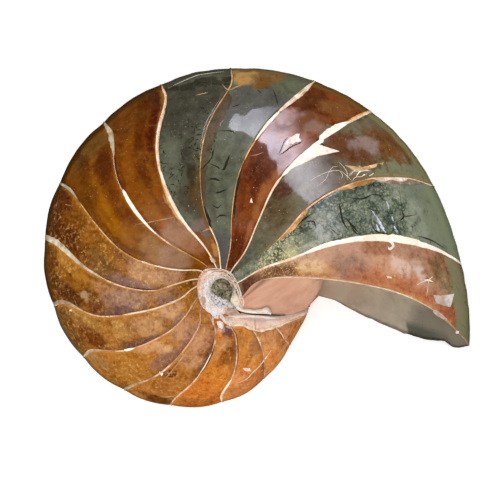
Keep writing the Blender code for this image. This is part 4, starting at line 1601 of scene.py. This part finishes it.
def pit_finish():
    """Layers of old whorls: mottled pink and orange, with pale threads on one side and painted shade between
    them, and white crust.
    """
    wall = Finish("pit_wall", 0.45, 0.2)
    chart = wall.warped_chart(0.0018, (0.10, 0.40, 0.0), 0.0006, (0.03, 0.16, 0.0), 3.0)
    turn, depth = wall.parts(chart)
    broad = wall.cloud(0.0015, 3.0, 4.0, 0.65)
    fine = wall.cloud(0.0005, 5.0, 4.0, 0.65)
    threads = (depth * 26.0 + turn * 14.0).sine()
    right = wall.step(turn, 0.34, 0.20, 0.12, 1.0)
    colour = wall.blend(wall.step(broad, 0.38, 0.62), paint(224, 176, 150), paint(250, 226, 208))
    colour = wall.patched(colour, chart, PIT_PATCHES)
    colour = wall.blend(wall.step(threads, 0.1, 0.95, 0.0, 0.8) * right, colour, paint(248, 232, 212))
    # Painted shade: brown in the troughs between the pale threads
    colour = wall.blend(wall.step(threads, -0.3, -0.95, 0.0, 0.7) * right, colour, paint(128, 88, 66))
    colour = wall.lay(colour, paint(255, 248, 242), fine, 0.52, 0.62, 0.85)
    colour = wall.deepen(wall.step(fine, 0.45, 0.30, 0.0, 0.6), colour, (0.50, 0.38, 0.33, 1.0))
    wall.feed("Base Color", colour)
    wall.relief(fine * 0.8 + broad * 0.5 + threads * right * 0.2, 0.6, 0.0004)
    return wall


pit_wall = bent_grid(PIT_COLUMNS, PIT_ROWS, pit_place)
merge_seams(pit_wall)
finished_piece("umbilical_wall", pit_wall, [pit_finish()], PIT_THICKNESS)

# The pale threads and the painted shadow lines between them run round the pit's right side:
# turn and depth at each one's ends, and its width in tenths of a millimetre
PALE_LIFT = 0.00012
SHADOW_LIFT = 0.00006
THREAD_POINTS = 60
THREAD_DEPTH = 0.0002
THREAD_LEAST = 0.00002
THREAD_RAGGED = 0.5
THREAD_TAPER = 6.0
THREAD_WAVE = 0.04
THREAD_WAVES = 9.0
THREAD_APART = 40.0
THREAD_BEYOND = 1.4
TURN_STEP = 0.004
DEPTH_STEP = 0.02
WHITE_THREADS = (
    (0.40, 0.08, 0.00, 0.05, 2.4), (0.38, 0.26, 0.00, 0.16, 2.4), (0.36, 0.42, 0.00, 0.30, 2.6),
    (0.34, 0.56, 0.01, 0.44, 2.2), (0.20, 0.66, 0.02, 0.56, 1.8),
)
THREAD_SHADOWS = ((0.40, 0.17, 0.00, 0.10, 2.2), (0.38, 0.34, 0.00, 0.23, 2.0), (0.30, 0.50, 0.00, 0.37, 2.2))


def pit_thread(start_turn, start_depth, end_turn, end_depth, tenths, lift):
    """A thread of an old whorl's edge along the pit's wall, or a painted shadow line beside one."""

    def path(share):
        turn = mix(start_turn, end_turn, share)
        wave = THREAD_WAVE * math.sin(share * THREAD_WAVES + start_turn * THREAD_APART)
        depth = mix(start_depth, end_depth, share) + wave
        here = pit_point(turn, depth)
        along = pit_point(turn + TURN_STEP, depth) - here
        down = pit_point(turn, depth + DEPTH_STEP) - here
        up = along.cross(down).normalized()
        return here, up if up.z > 0.0 else -up

    def widths(share):
        here = path(share)[0]
        width = tenths * TENTH / 2.0 * min(share * THREAD_TAPER, 1.0) + THREAD_LEAST
        return width * ragged(here, THREAD_RAGGED), width * ragged(here * THREAD_BEYOND, THREAD_RAGGED)

    return line_strip(path, widths, THREAD_POINTS, lift, THREAD_DEPTH)


white_threads = [pit_thread(*thread, PALE_LIFT) for thread in WHITE_THREADS]
marks("umbilical_threads", white_threads, EDGE_FINISHES["white"])
# Painted shadow lines between the pale threads
thread_shadows = [pit_thread(*thread, SHADOW_LIFT) for thread in THREAD_SHADOWS]
marks("umbilical_thread_shadows", thread_shadows, EDGE_FINISHES["brown"])

CRUST_COLUMNS = 200
CRUST_ROWS = 10
CRUST_TURNS = (
    0.0, 0.08, 0.17, 0.24, 0.3, 0.38, 0.45, 0.56, 0.62, 0.68, 0.73, 0.77, 0.82, 0.87, 0.92, 1.0,
)
CRUST_STARTS = (
    0.97, 0.95, 0.9, 0.84, 0.76, 0.64, 0.5, 0.46, 0.44, 0.34, 0.22, 0.3, 0.6, 0.85, 0.96, 0.97,
)
CRUST_HEIGHT = 0.00045
CRUST_RAGGED = 0.10
CRUST_BESIDE = 0.8
CRUST_JAGS = ((1.0, 0.0010), (0.6, 0.0004))
CRUST_LUMPS = ((0.8, 0.0006), (0.5, 0.00025))
CRUST_MIDDLE = 0.6
CRUST_END = 1.05
CRUST_SUNK = 0.00006
CRUST_THICKNESS = 0.0002


def crust_place(column, row):
    """A point of the white crust round the plug."""
    turn = column / CRUST_COLUMNS
    start = smooth_through(CRUST_TURNS, CRUST_STARTS, turn)
    rough = lumps_at(pit_point(turn, CRUST_BESIDE), CRUST_JAGS)
    share = row / CRUST_ROWS
    point = pit_point(turn, mix(start + CRUST_RAGGED * rough, CRUST_END, share))
    lumps = lumps_at(point, CRUST_LUMPS, CRUST_MIDDLE)
    point.z += CRUST_HEIGHT * lumps * math.sin(math.pi * share) - CRUST_SUNK
    return point, (turn, share)


def crust_finish():
    """Bright white crystal crust with dark pits and pink grains."""
    crust = Finish("white_crust", 0.55, 0.1)
    fine = crust.cloud(0.0005, 2.0, 4.0, 0.7)
    broad = crust.cloud(0.0014, 7.0, 3.0, 0.6)
    colour = crust.blend(crust.step(broad, 0.4, 0.66), paint(255, 253, 252), paint(244, 232, 226))
    colour = crust.lay(colour, paint(176, 156, 146), fine, 0.44, 0.34, 0.6)
    colour = crust.lay(colour, paint(66, 58, 54), fine, 0.36, 0.28, 0.9)
    crust.feed("Base Color", colour)
    crust.relief(fine, 0.8, 0.0004)
    return crust


crust = bent_grid(CRUST_COLUMNS, CRUST_ROWS, crust_place)
merge_seams(crust)
crust_stone = crust_finish()
finished_piece("umbilical_crust", crust, [crust_stone], CRUST_THICKNESS)

PLUG_RINGS = 30
PLUG_COLUMNS = 72
PLUG_REACH = 1.10
PLUG_ROUGH = 0.0009
PLUG_LUMPS = ((0.6, 0.0009), (0.4, 0.0004))
PLUG_FALL = 0.0010
PLUG_THICKNESS = 0.0006
CRUSTED_LEAN = 0.5
CRUSTED_FROM = -0.0178
CRUSTED_TO = -0.0184


def plug_place(column, row):
    """A point of the plug's rough top, out to its buried edge."""
    share = row / PLUG_RINGS
    way = ray(TURN * column / PLUG_COLUMNS)
    radius = plug_reach(way) * PLUG_REACH * share
    point = Vector((PLUG_CENTRE.x + way.x * radius, PLUG_CENTRE.y + way.y * radius, 0.0))
    rough = lumps_at(point, PLUG_LUMPS)
    point.z = PLUG_CENTRE.z + PLUG_ROUGH * rough - PLUG_FALL * share ** 4
    return point, (column / PLUG_COLUMNS, share)


def plug_finish():
    """Rough olive stone with black pits and pale specks, crusted white below."""
    stone = Finish("plug_stone", 0.65, 0.1)
    broad = stone.cloud(0.0014, 2.0, 4.0, 0.65)
    fine = stone.cloud(0.0006, 8.0, 5.0, 0.7)
    colour = stone.blend(stone.step(broad, 0.38, 0.62), paint(128, 124, 100), paint(188, 182, 158))
    place = stone.stone_place()
    down = stone.part(place, "Y") + stone.part(place, "X") * CRUSTED_LEAN + (broad - 0.5) * 0.0016
    crusted = stone.step(down, CRUSTED_TO, CRUSTED_FROM, 0.95, 0.0)
    colour = stone.lay(colour, paint(46, 44, 34), fine, 0.46, 0.36)
    colour = stone.lay(colour, paint(214, 208, 186), fine, 0.58, 0.68)
    crystals = stone.blend(stone.step(fine, 0.50, 0.40), paint(246, 242, 244), paint(158, 148, 150))
    crystals = stone.lay(crystals, paint(70, 64, 62), fine, 0.40, 0.32)
    colour = stone.blend(crusted, colour, crystals)
    stone.feed("Base Color", colour)
    stone.relief(fine + broad * 0.6, 0.9, 0.0005)
    return stone


plug = bent_grid(PLUG_COLUMNS, PLUG_RINGS, plug_place)
merge_seams(plug)
bmesh.ops.reverse_faces(plug, faces=plug.faces)
plug_stone = plug_finish()
finished_piece("umbilical_plug", plug, [plug_stone], PLUG_THICKNESS)


BIT_JAGGED = 0.16
BIT_JAGS = 1.9
BIT_LUMPS = 0.6
BIT_GRAIN = 0.0005
BIT_FALL = 0.8


def draped_flake(corners, lift):
    """A chip that lies on whatever is below it, with these corners in millimetres."""
    corners = [Vector(corner) for corner in corners]

    def place(column, row):
        share = min(row / FLAKE_ROWS, 1.0)
        flat = chip_spot(corners, column, share, BIT_JAGGED, BIT_JAGS) * MILLIMETRE
        lumps = 1.0 + BIT_LUMPS * noise.noise(Vector((flat.x, flat.y, 0.0)) / BIT_GRAIN)
        height = -FLAKE_DEPTH if row > FLAKE_ROWS else lift * (1.0 - BIT_FALL * share ** 3) * lumps
        return Vector((flat.x, flat.y, top_of(flat) + height)), (RIDGE_MIDDLE, share)

    return closed_grid(FLAKE_COLUMNS, FLAKE_ROWS + 1, place)


DRAPED_STEPS = 14


def draped_line(points, widths_in_tenths, lift):
    """A low ridge that lies on whatever is below it, through these points in millimetres."""
    rows = DRAPED_STEPS * len(points)

    def flat_at(share):
        x, y = [smooth_along(values, share) for values in zip(*points)]
        return Vector((x, y, 0.0)) * MILLIMETRE

    def place(column, row):
        share = row / rows
        here = flat_at(share)
        ahead = flat_at(min(share + 0.5 / rows, 1.0)) - flat_at(max(share - 0.5 / rows, 0.0))
        side = ahead.cross(Vector((0.0, 0.0, 1.0))).normalized()
        taper = min(share * THREAD_TAPER, (1.0 - share) * THREAD_TAPER, 1.0)
        width = smooth_along(widths_in_tenths, share) * TENTH / 2.0 * taper
        half = width * ragged(here, THREAD_RAGGED) + THREAD_LEAST
        reach, height = ridge_corner(column, half, half, lift, FLAKE_DEPTH)
        flat = here + side * reach
        return Vector((flat.x, flat.y, top_of(flat) + height)), (column / RIDGE_SIDES, share)

    return closed_grid(RIDGE_SIDES, rows, place)


# Broken bits of shell and crust lie round the plug and on the foot of the last septum
OLIVE_BITS = (
    (
        (-6.4, -14.6), (-5.8, -15.3), (-5.0, -16.1), (-4.7, -16.9), (-5.7, -16.5), (-6.6, -16.3),
        (-7.1, -16.5), (-7.1, -15.6),
    ),
)
PALE_BITS = (
    (
        (-7.6, -17.5), (-7.2, -16.7), (-6.7, -16.3), (-5.7, -16.4), (-4.5, -17.1), (-3.6, -17.5),
        (-4.8, -18.1), (-6.5, -18.1),
    ),
    (
        (-8.5, -18.6), (-7.1, -18.2), (-5.7, -18.5), (-5.1, -18.5), (-5.5, -19.5), (-5.7, -20.6),
        (-6.4, -20.4), (-7.2, -20.0), (-7.9, -19.3),
    ),
    ((-13.1, -13.6), (-12.0, -13.8), (-11.8, -14.7), (-12.4, -15.8), (-12.7, -14.7)),
    ((-10.9, -4.5), (-10.1, -4.8), (-9.4, -5.5), (-9.8, -5.9), (-10.5, -5.7)),
)
CRUST_BITS = (
    (
        (-11.3, -16.1), (-10.4, -16.6), (-9.6, -17.0), (-8.7, -17.4), (-8.9, -18.8), (-9.9, -18.7),
        (-10.6, -17.8),
    ),
    ((-8.8, -17.4), (-8.0, -17.9), (-7.4, -18.7), (-7.5, -19.3), (-8.1, -19.0), (-8.7, -18.5)),
    (
        (-9.3, -19.4), (-8.5, -19.3), (-7.8, -19.6), (-7.7, -20.5), (-8.0, -21.2), (-8.7, -20.8),
        (-9.3, -20.1),
    ),
)
MAUVE_BITS = (
    ((-7.6, -20.6), (-6.8, -20.9), (-5.8, -21.3), (-5.8, -22.7), (-6.5, -22.9), (-7.2, -22.0)),
    ((-4.1, -16.9), (-3.6, -17.0), (-3.3, -17.4), (-3.8, -17.7), (-4.3, -17.3)),
)
CRESCENT = (
    (-5.3, -11.9), (-4.8, -13.1), (-4.3, -14.3), (-3.8, -15.3), (-3.5, -16.1), (-3.7, -17.1), (-4.3, -16.7),
    (-5.1, -16.0), (-5.7, -15.3), (-6.1, -14.3), (-5.8, -13.6), (-5.4, -13.1),
)
RIM_THREADS = (
    (((-3.9, -12.6), (-3.5, -13.6), (-3.1, -14.8), (-3.2, -16.0), (-3.6, -17.2)), (2, 2, 3, 2, 1)),
    (((-4.3, -13.0), (-3.9, -14.0), (-3.5, -15.2), (-3.5, -16.2), (-3.7, -17.0)), (1, 2, 2, 2, 1)),
)
PALE_THREADS = (
    (((-10.1, -18.1), (-10.2, -19.2), (-9.9, -20.6)), (4, 4, 3)),
    (((-3.4, -18.0), (-3.0, -19.2), (-2.4, -20.6)), (2, 3, 3)),
    (((-0.6, -18.3), (-0.4, -20.0), (-0.4, -21.6)), (2, 3, 2)),
    (((3.1, -18.4), (3.3, -19.4)), (2, 2)),
)
SEAT_LINE = (
    (-7.0, -18.2), (-5.0, -18.3), (-3.0, -18.2), (-1.0, -18.2), (1.0, -18.3), (3.4, -18.6), (5.6, -18.6),
)
SEAT_LINE_WIDTHS = (4, 6, 6, 6, 5, 3)
mauve_bit = nacre_finish("mauve_bit", (116, 74, 64), (134, 88, 72), (90, 52, 42), 41.0)
mauve_bit.hold("Coat Weight", 0.0)
crescent_finish = nacre_finish("cream_crescent", (250, 240, 214), (255, 250, 236), (214, 176, 130), 43.0, 0.3)

# Name, outlines, how high the bits stand, finish
for name, outlines, lift, finish in (
    ("olive_bits", OLIVE_BITS, 0.00012, plug_stone),
    ("pale_bits", PALE_BITS, 0.00014, EDGE_FINISHES["blush"]),
    ("crust_bits", CRUST_BITS, 0.00025, crust_stone),
    ("mauve_bits", MAUVE_BITS, 0.00004, mauve_bit),
    ("cream_crescent", (CRESCENT,), 0.00045, crescent_finish),
):
    marks(name, [draped_flake(corners, lift) for corners in outlines], finish)

# Name, lines, how high the threads stand, finish
for name, lines, lift, finish in (
    ("rim_threads", RIM_THREADS, 0.00010, EDGE_FINISHES["white"]),
    ("pale_threads", PALE_THREADS, 0.00005, EDGE_FINISHES["blush"]),
    ("seat_line", ((SEAT_LINE, SEAT_LINE_WIDTHS),), 0.00018, EDGE_FINISHES["white"]),
):
    marks(name, [draped_line(*line, lift) for line in lines], finish)


# Inner whorls. The saw cut also shows the older whorls coiled inside: their walls,
# septa and fillings run on to the first chamber at the middle of the coil.

LAST_ANGLE = 1500.0
INNER_COLUMNS = 8
INNER_ROWS = 8
WALL_WIDTH = 0.00035
WALL_START = 344.0
THINNEST = 0.00008
WALL_POINTS = 700


def inner_filling(number):
    """The flat filling of one inner chamber."""

    def place(column, row):
        across = 1.0 - column / INNER_COLUMNS
        share = row / INNER_ROWS
        return filling_place(number, across, 1.0 + share), (across + number, 1.0 + share)

    return bent_grid(INNER_COLUMNS, INNER_ROWS, place)


inner_count = int((LAST_ANGLE - SEPTA[-1][-1]) / INNER_SPACING)
inner_whorls = inner_filling(SEAT)
inner_septa = section_strip(SEAT, CUT_WIDTH)
for number in range(SEAT + 1, SEAT + inner_count):
    join_in(inner_whorls, inner_filling(number))
    width = max(CUT_WIDTH * growth(septum_angle(number, 1.0) - TURN), THINNEST)
    join_in(inner_septa, section_strip(number, width))
merge_seams(inner_whorls)
inner_whorls.normal_update()
bmesh.ops.reverse_faces(inner_whorls, faces=[face for face in inner_whorls.faces if face.normal.z > 0.0])
WHORL_GROUNDS = ((146, 88, 20), (190, 144, 84))
WHORL_RIM = ((86, 58, 24), 0.02)
WHORL_PATCHES = (((98, 44, 8), 2000, 150, 300, 200, 60, 80), ((78, 44, 16), 3000, 150, 400, 200, 60, 80))
# The inner whorls get no painted highlight or painted shade along their septa
NO_PAINTED_EDGES = (0.0, 0.0)
WHORL_SEED = 131.0
whorl_finish = stone_finish(
    "inner_whorls", GRAINY, WHORL_GROUNDS, WHORL_RIM, NO_PAINTED_EDGES, WHORL_PATCHES, WHORL_SEED,
)
finished_piece("inner_whorls", inner_whorls, [whorl_finish], SKIN)
finished_piece("inner_septa", inner_septa, [EDGE_FINISHES["cream"]])


def wall_strip():
    """The spiral wall between the whorls on the cut face."""

    def path(share):
        angle = mix(WALL_START, LAST_ANGLE, share)
        flat = COIL_CENTRE + ray(angle) * coil_radius(angle)
        return Vector((flat.x, flat.y, CUT_RECESS)), Vector((0.0, 0.0, -1.0))

    def widths(share):
        width = max(WALL_WIDTH * growth(mix(WALL_START, LAST_ANGLE, share) - TURN), THINNEST)
        return width, width

    return line_strip(path, widths, WALL_POINTS, CUT_RECESS, EDGE_DEPTH)


finished_piece("inner_wall", wall_strip(), [EDGE_FINISHES["rosy"]])


# Table and studio. A pale matt table top. A tall window high behind the shell and a
# pale ceiling show as reflections in the polish, and broad soft lights fill the rest.

TABLE_HALF = 3.0
TABLE_DROP = 0.00005
TABLE_GRAIN = 0.05
TABLE_TONES = ((0.91, 0.91, 0.91, 1.0), (0.94, 0.94, 0.94, 1.0))
TABLE_GLOW = 0.25
WHITE = (1.0, 1.0, 1.0, 1.0)
BLACK = (0.0, 0.0, 0.0, 1.0)


def sheet_in_scene(name, mesh, finish):
    """A sheet of the studio from its mesh."""
    data = bpy.data.meshes.new(name)
    mesh.to_mesh(data)
    mesh.free()
    data.materials.append(finish.material)
    return in_scene(name, data)


table_finish = Finish("table_top", 0.9, 0.0)
table_tone = table_finish.cloud(TABLE_GRAIN, 1.0, 3.0, 0.5)
table_finish.feed("Base Color", table_finish.blend(table_tone, *TABLE_TONES))
table_finish.hold("Emission Color", WHITE)
table_finish.hold("Emission Strength", TABLE_GLOW)
table_mesh = bmesh.new()
bmesh.ops.create_grid(table_mesh, x_segments=1, y_segments=1, size=TABLE_HALF)
bmesh.ops.translate(table_mesh, verts=table_mesh.verts, vec=(0.0, 0.0, -TABLE_DROP))
table = sheet_in_scene("table", table_mesh, table_finish)
table.visible_glossy = False

MIDDLE = Vector((0.0, 0.0, 0.01))


def soft_light(name, shape, place, target, size, radiance, colour, in_polish):
    """A soft light that faces its target, either seen in the polish or only filling the shade."""
    lamp = bpy.data.lights.new(name, "AREA")
    lamp.shape = shape
    lamp.size, lamp.size_y = size
    area = size[0] * size[1] * (math.pi / 4.0 if shape == "ELLIPSE" else 1.0)
    lamp.energy = radiance * math.pi * area
    lamp.color = colour
    light = in_scene(name, lamp)
    light.location = place
    light.rotation_euler = (Vector(target) - Vector(place)).to_track_quat("-Z", "Y").to_euler()
    light.visible_glossy = in_polish
    light.visible_diffuse = not in_polish


# The window is a leaning bright panel, brightest along the edge that shows in the
# amber. Its edges are set off from the line to its middle, across and up: the near
# edge at five places down it, and the ends of the far edge.
WINDOW_AWAY = Vector((0.1180, 0.6700, 0.6120))
WINDOW_DROPS = (0.0, 0.30, 0.55, 0.75, 1.0)
NEAR_ACROSS = (-0.10, -0.115, -0.15, -0.30, -0.24)
NEAR_UP = (0.44, 0.27, 0.12, 0.01, -0.17)
WINDOW_FAR = (Vector((0.44, 0.42)), Vector((0.12, -0.58)))
WINDOW_CELLS = 20
WINDOW_GLOW = 14.5
WINDOW_TINT = (0.84, 0.84, 1.0, 1.0)
away = WINDOW_AWAY.normalized()
window_right = away.cross(Vector((0.0, 0.0, 1.0))).normalized()
window_up = window_right.cross(away)


def window_place(column, row):
    """A point of the window, from its near edge across and down."""
    across = column / WINDOW_CELLS
    down = row / WINDOW_CELLS
    near = Vector([smooth_through(WINDOW_DROPS, offsets, down) for offsets in (NEAR_ACROSS, NEAR_UP)])
    spot = near.lerp(WINDOW_FAR[0].lerp(WINDOW_FAR[1], down), across)
    return MIDDLE + away + window_right * spot.x + window_up * spot.y, (across, down)


window_finish = Finish("window_glow", 0.9, 0.0)
from_edge, from_top = window_finish.parts(window_finish.chart())
side_glow = window_finish.step(from_edge, 0.10, 0.90, 1.0, 0.0)
foot_glow = window_finish.step(from_top, 0.55, 1.10, 1.0, 0.80)
head_glow = window_finish.step(from_top, 0.0, 0.45, 0.52, 1.0)
glow = side_glow * foot_glow * head_glow
window_finish.feed("Emission Color", window_finish.blend(glow, BLACK, WINDOW_TINT))
window_finish.hold("Emission Strength", WINDOW_GLOW)
window_finish.hold("Base Color", BLACK)
window_mesh = bent_grid(WINDOW_CELLS, WINDOW_CELLS, window_place)
window = sheet_in_scene("window", window_mesh, window_finish)
window.visible_camera = False
window.visible_diffuse = False
window.visible_shadow = False

# The ceiling's glow is three ovals, one just above the other, so that it fades outward
CEILING_PLACE = Vector((-0.18, -0.18, 0.80))
CEILING_SIZE = (0.80, 0.64)
CEILING_SPREADS = (1.0, 0.85, 0.70)
CEILING_GLOW = 0.16
CEILING_TINT = (1.0, 0.94, 0.98)
APART = 1.004
below_ceiling = Vector((CEILING_PLACE.x, CEILING_PLACE.y, 0.0))
for ring, spread in enumerate(CEILING_SPREADS):
    place = CEILING_PLACE * APART ** ring
    size = (CEILING_SIZE[0] * spread, CEILING_SIZE[1] * spread)
    soft_light("ceiling_%d" % ring, "ELLIPSE", place, below_ceiling, size, CEILING_GLOW, CEILING_TINT, True)

# Lights that only fill the shade: name, place, size, how bright and colour
FILL_LIGHTS = (
    ("daylight", (0.1, 0.9, 0.9), (1.2, 1.2), 1.0, (0.98, 0.98, 1.0)),
    ("front_fill", (-0.5, -1.1, 0.9), (1.2, 0.8), 1.8, (1.0, 0.98, 0.96)),
)
for name, place, size, radiance, colour in FILL_LIGHTS:
    soft_light(name, "RECTANGLE", place, MIDDLE, size, radiance, colour, False)

SKY_GLOW = 0.72
world = bpy.data.worlds.new("studio")
world.use_nodes = True
sky = world.node_tree.nodes["Background"]
sky.inputs["Color"].default_value = WHITE
sky.inputs["Strength"].default_value = SKY_GLOW
world.cycles_visibility.glossy = False
bpy.context.scene.world = world
bpy.context.scene.view_settings.view_transform = "Standard"
bpy.context.scene.view_settings.look = "Medium High Contrast"

# Camera, straight above the shell
CAMERA_HEIGHT = 0.70
CAMERA_ASIDE = (-0.00162, -0.00294)
VIEW_WIDTH = 0.1171
SENSOR = 36.0
lens = bpy.data.cameras.new("camera")
lens.sensor_width = SENSOR
lens.lens = SENSOR * CAMERA_HEIGHT / VIEW_WIDTH
camera = in_scene("camera", lens)
camera.location = (*CAMERA_ASIDE, CAMERA_HEIGHT)
bpy.context.scene.camera = camera
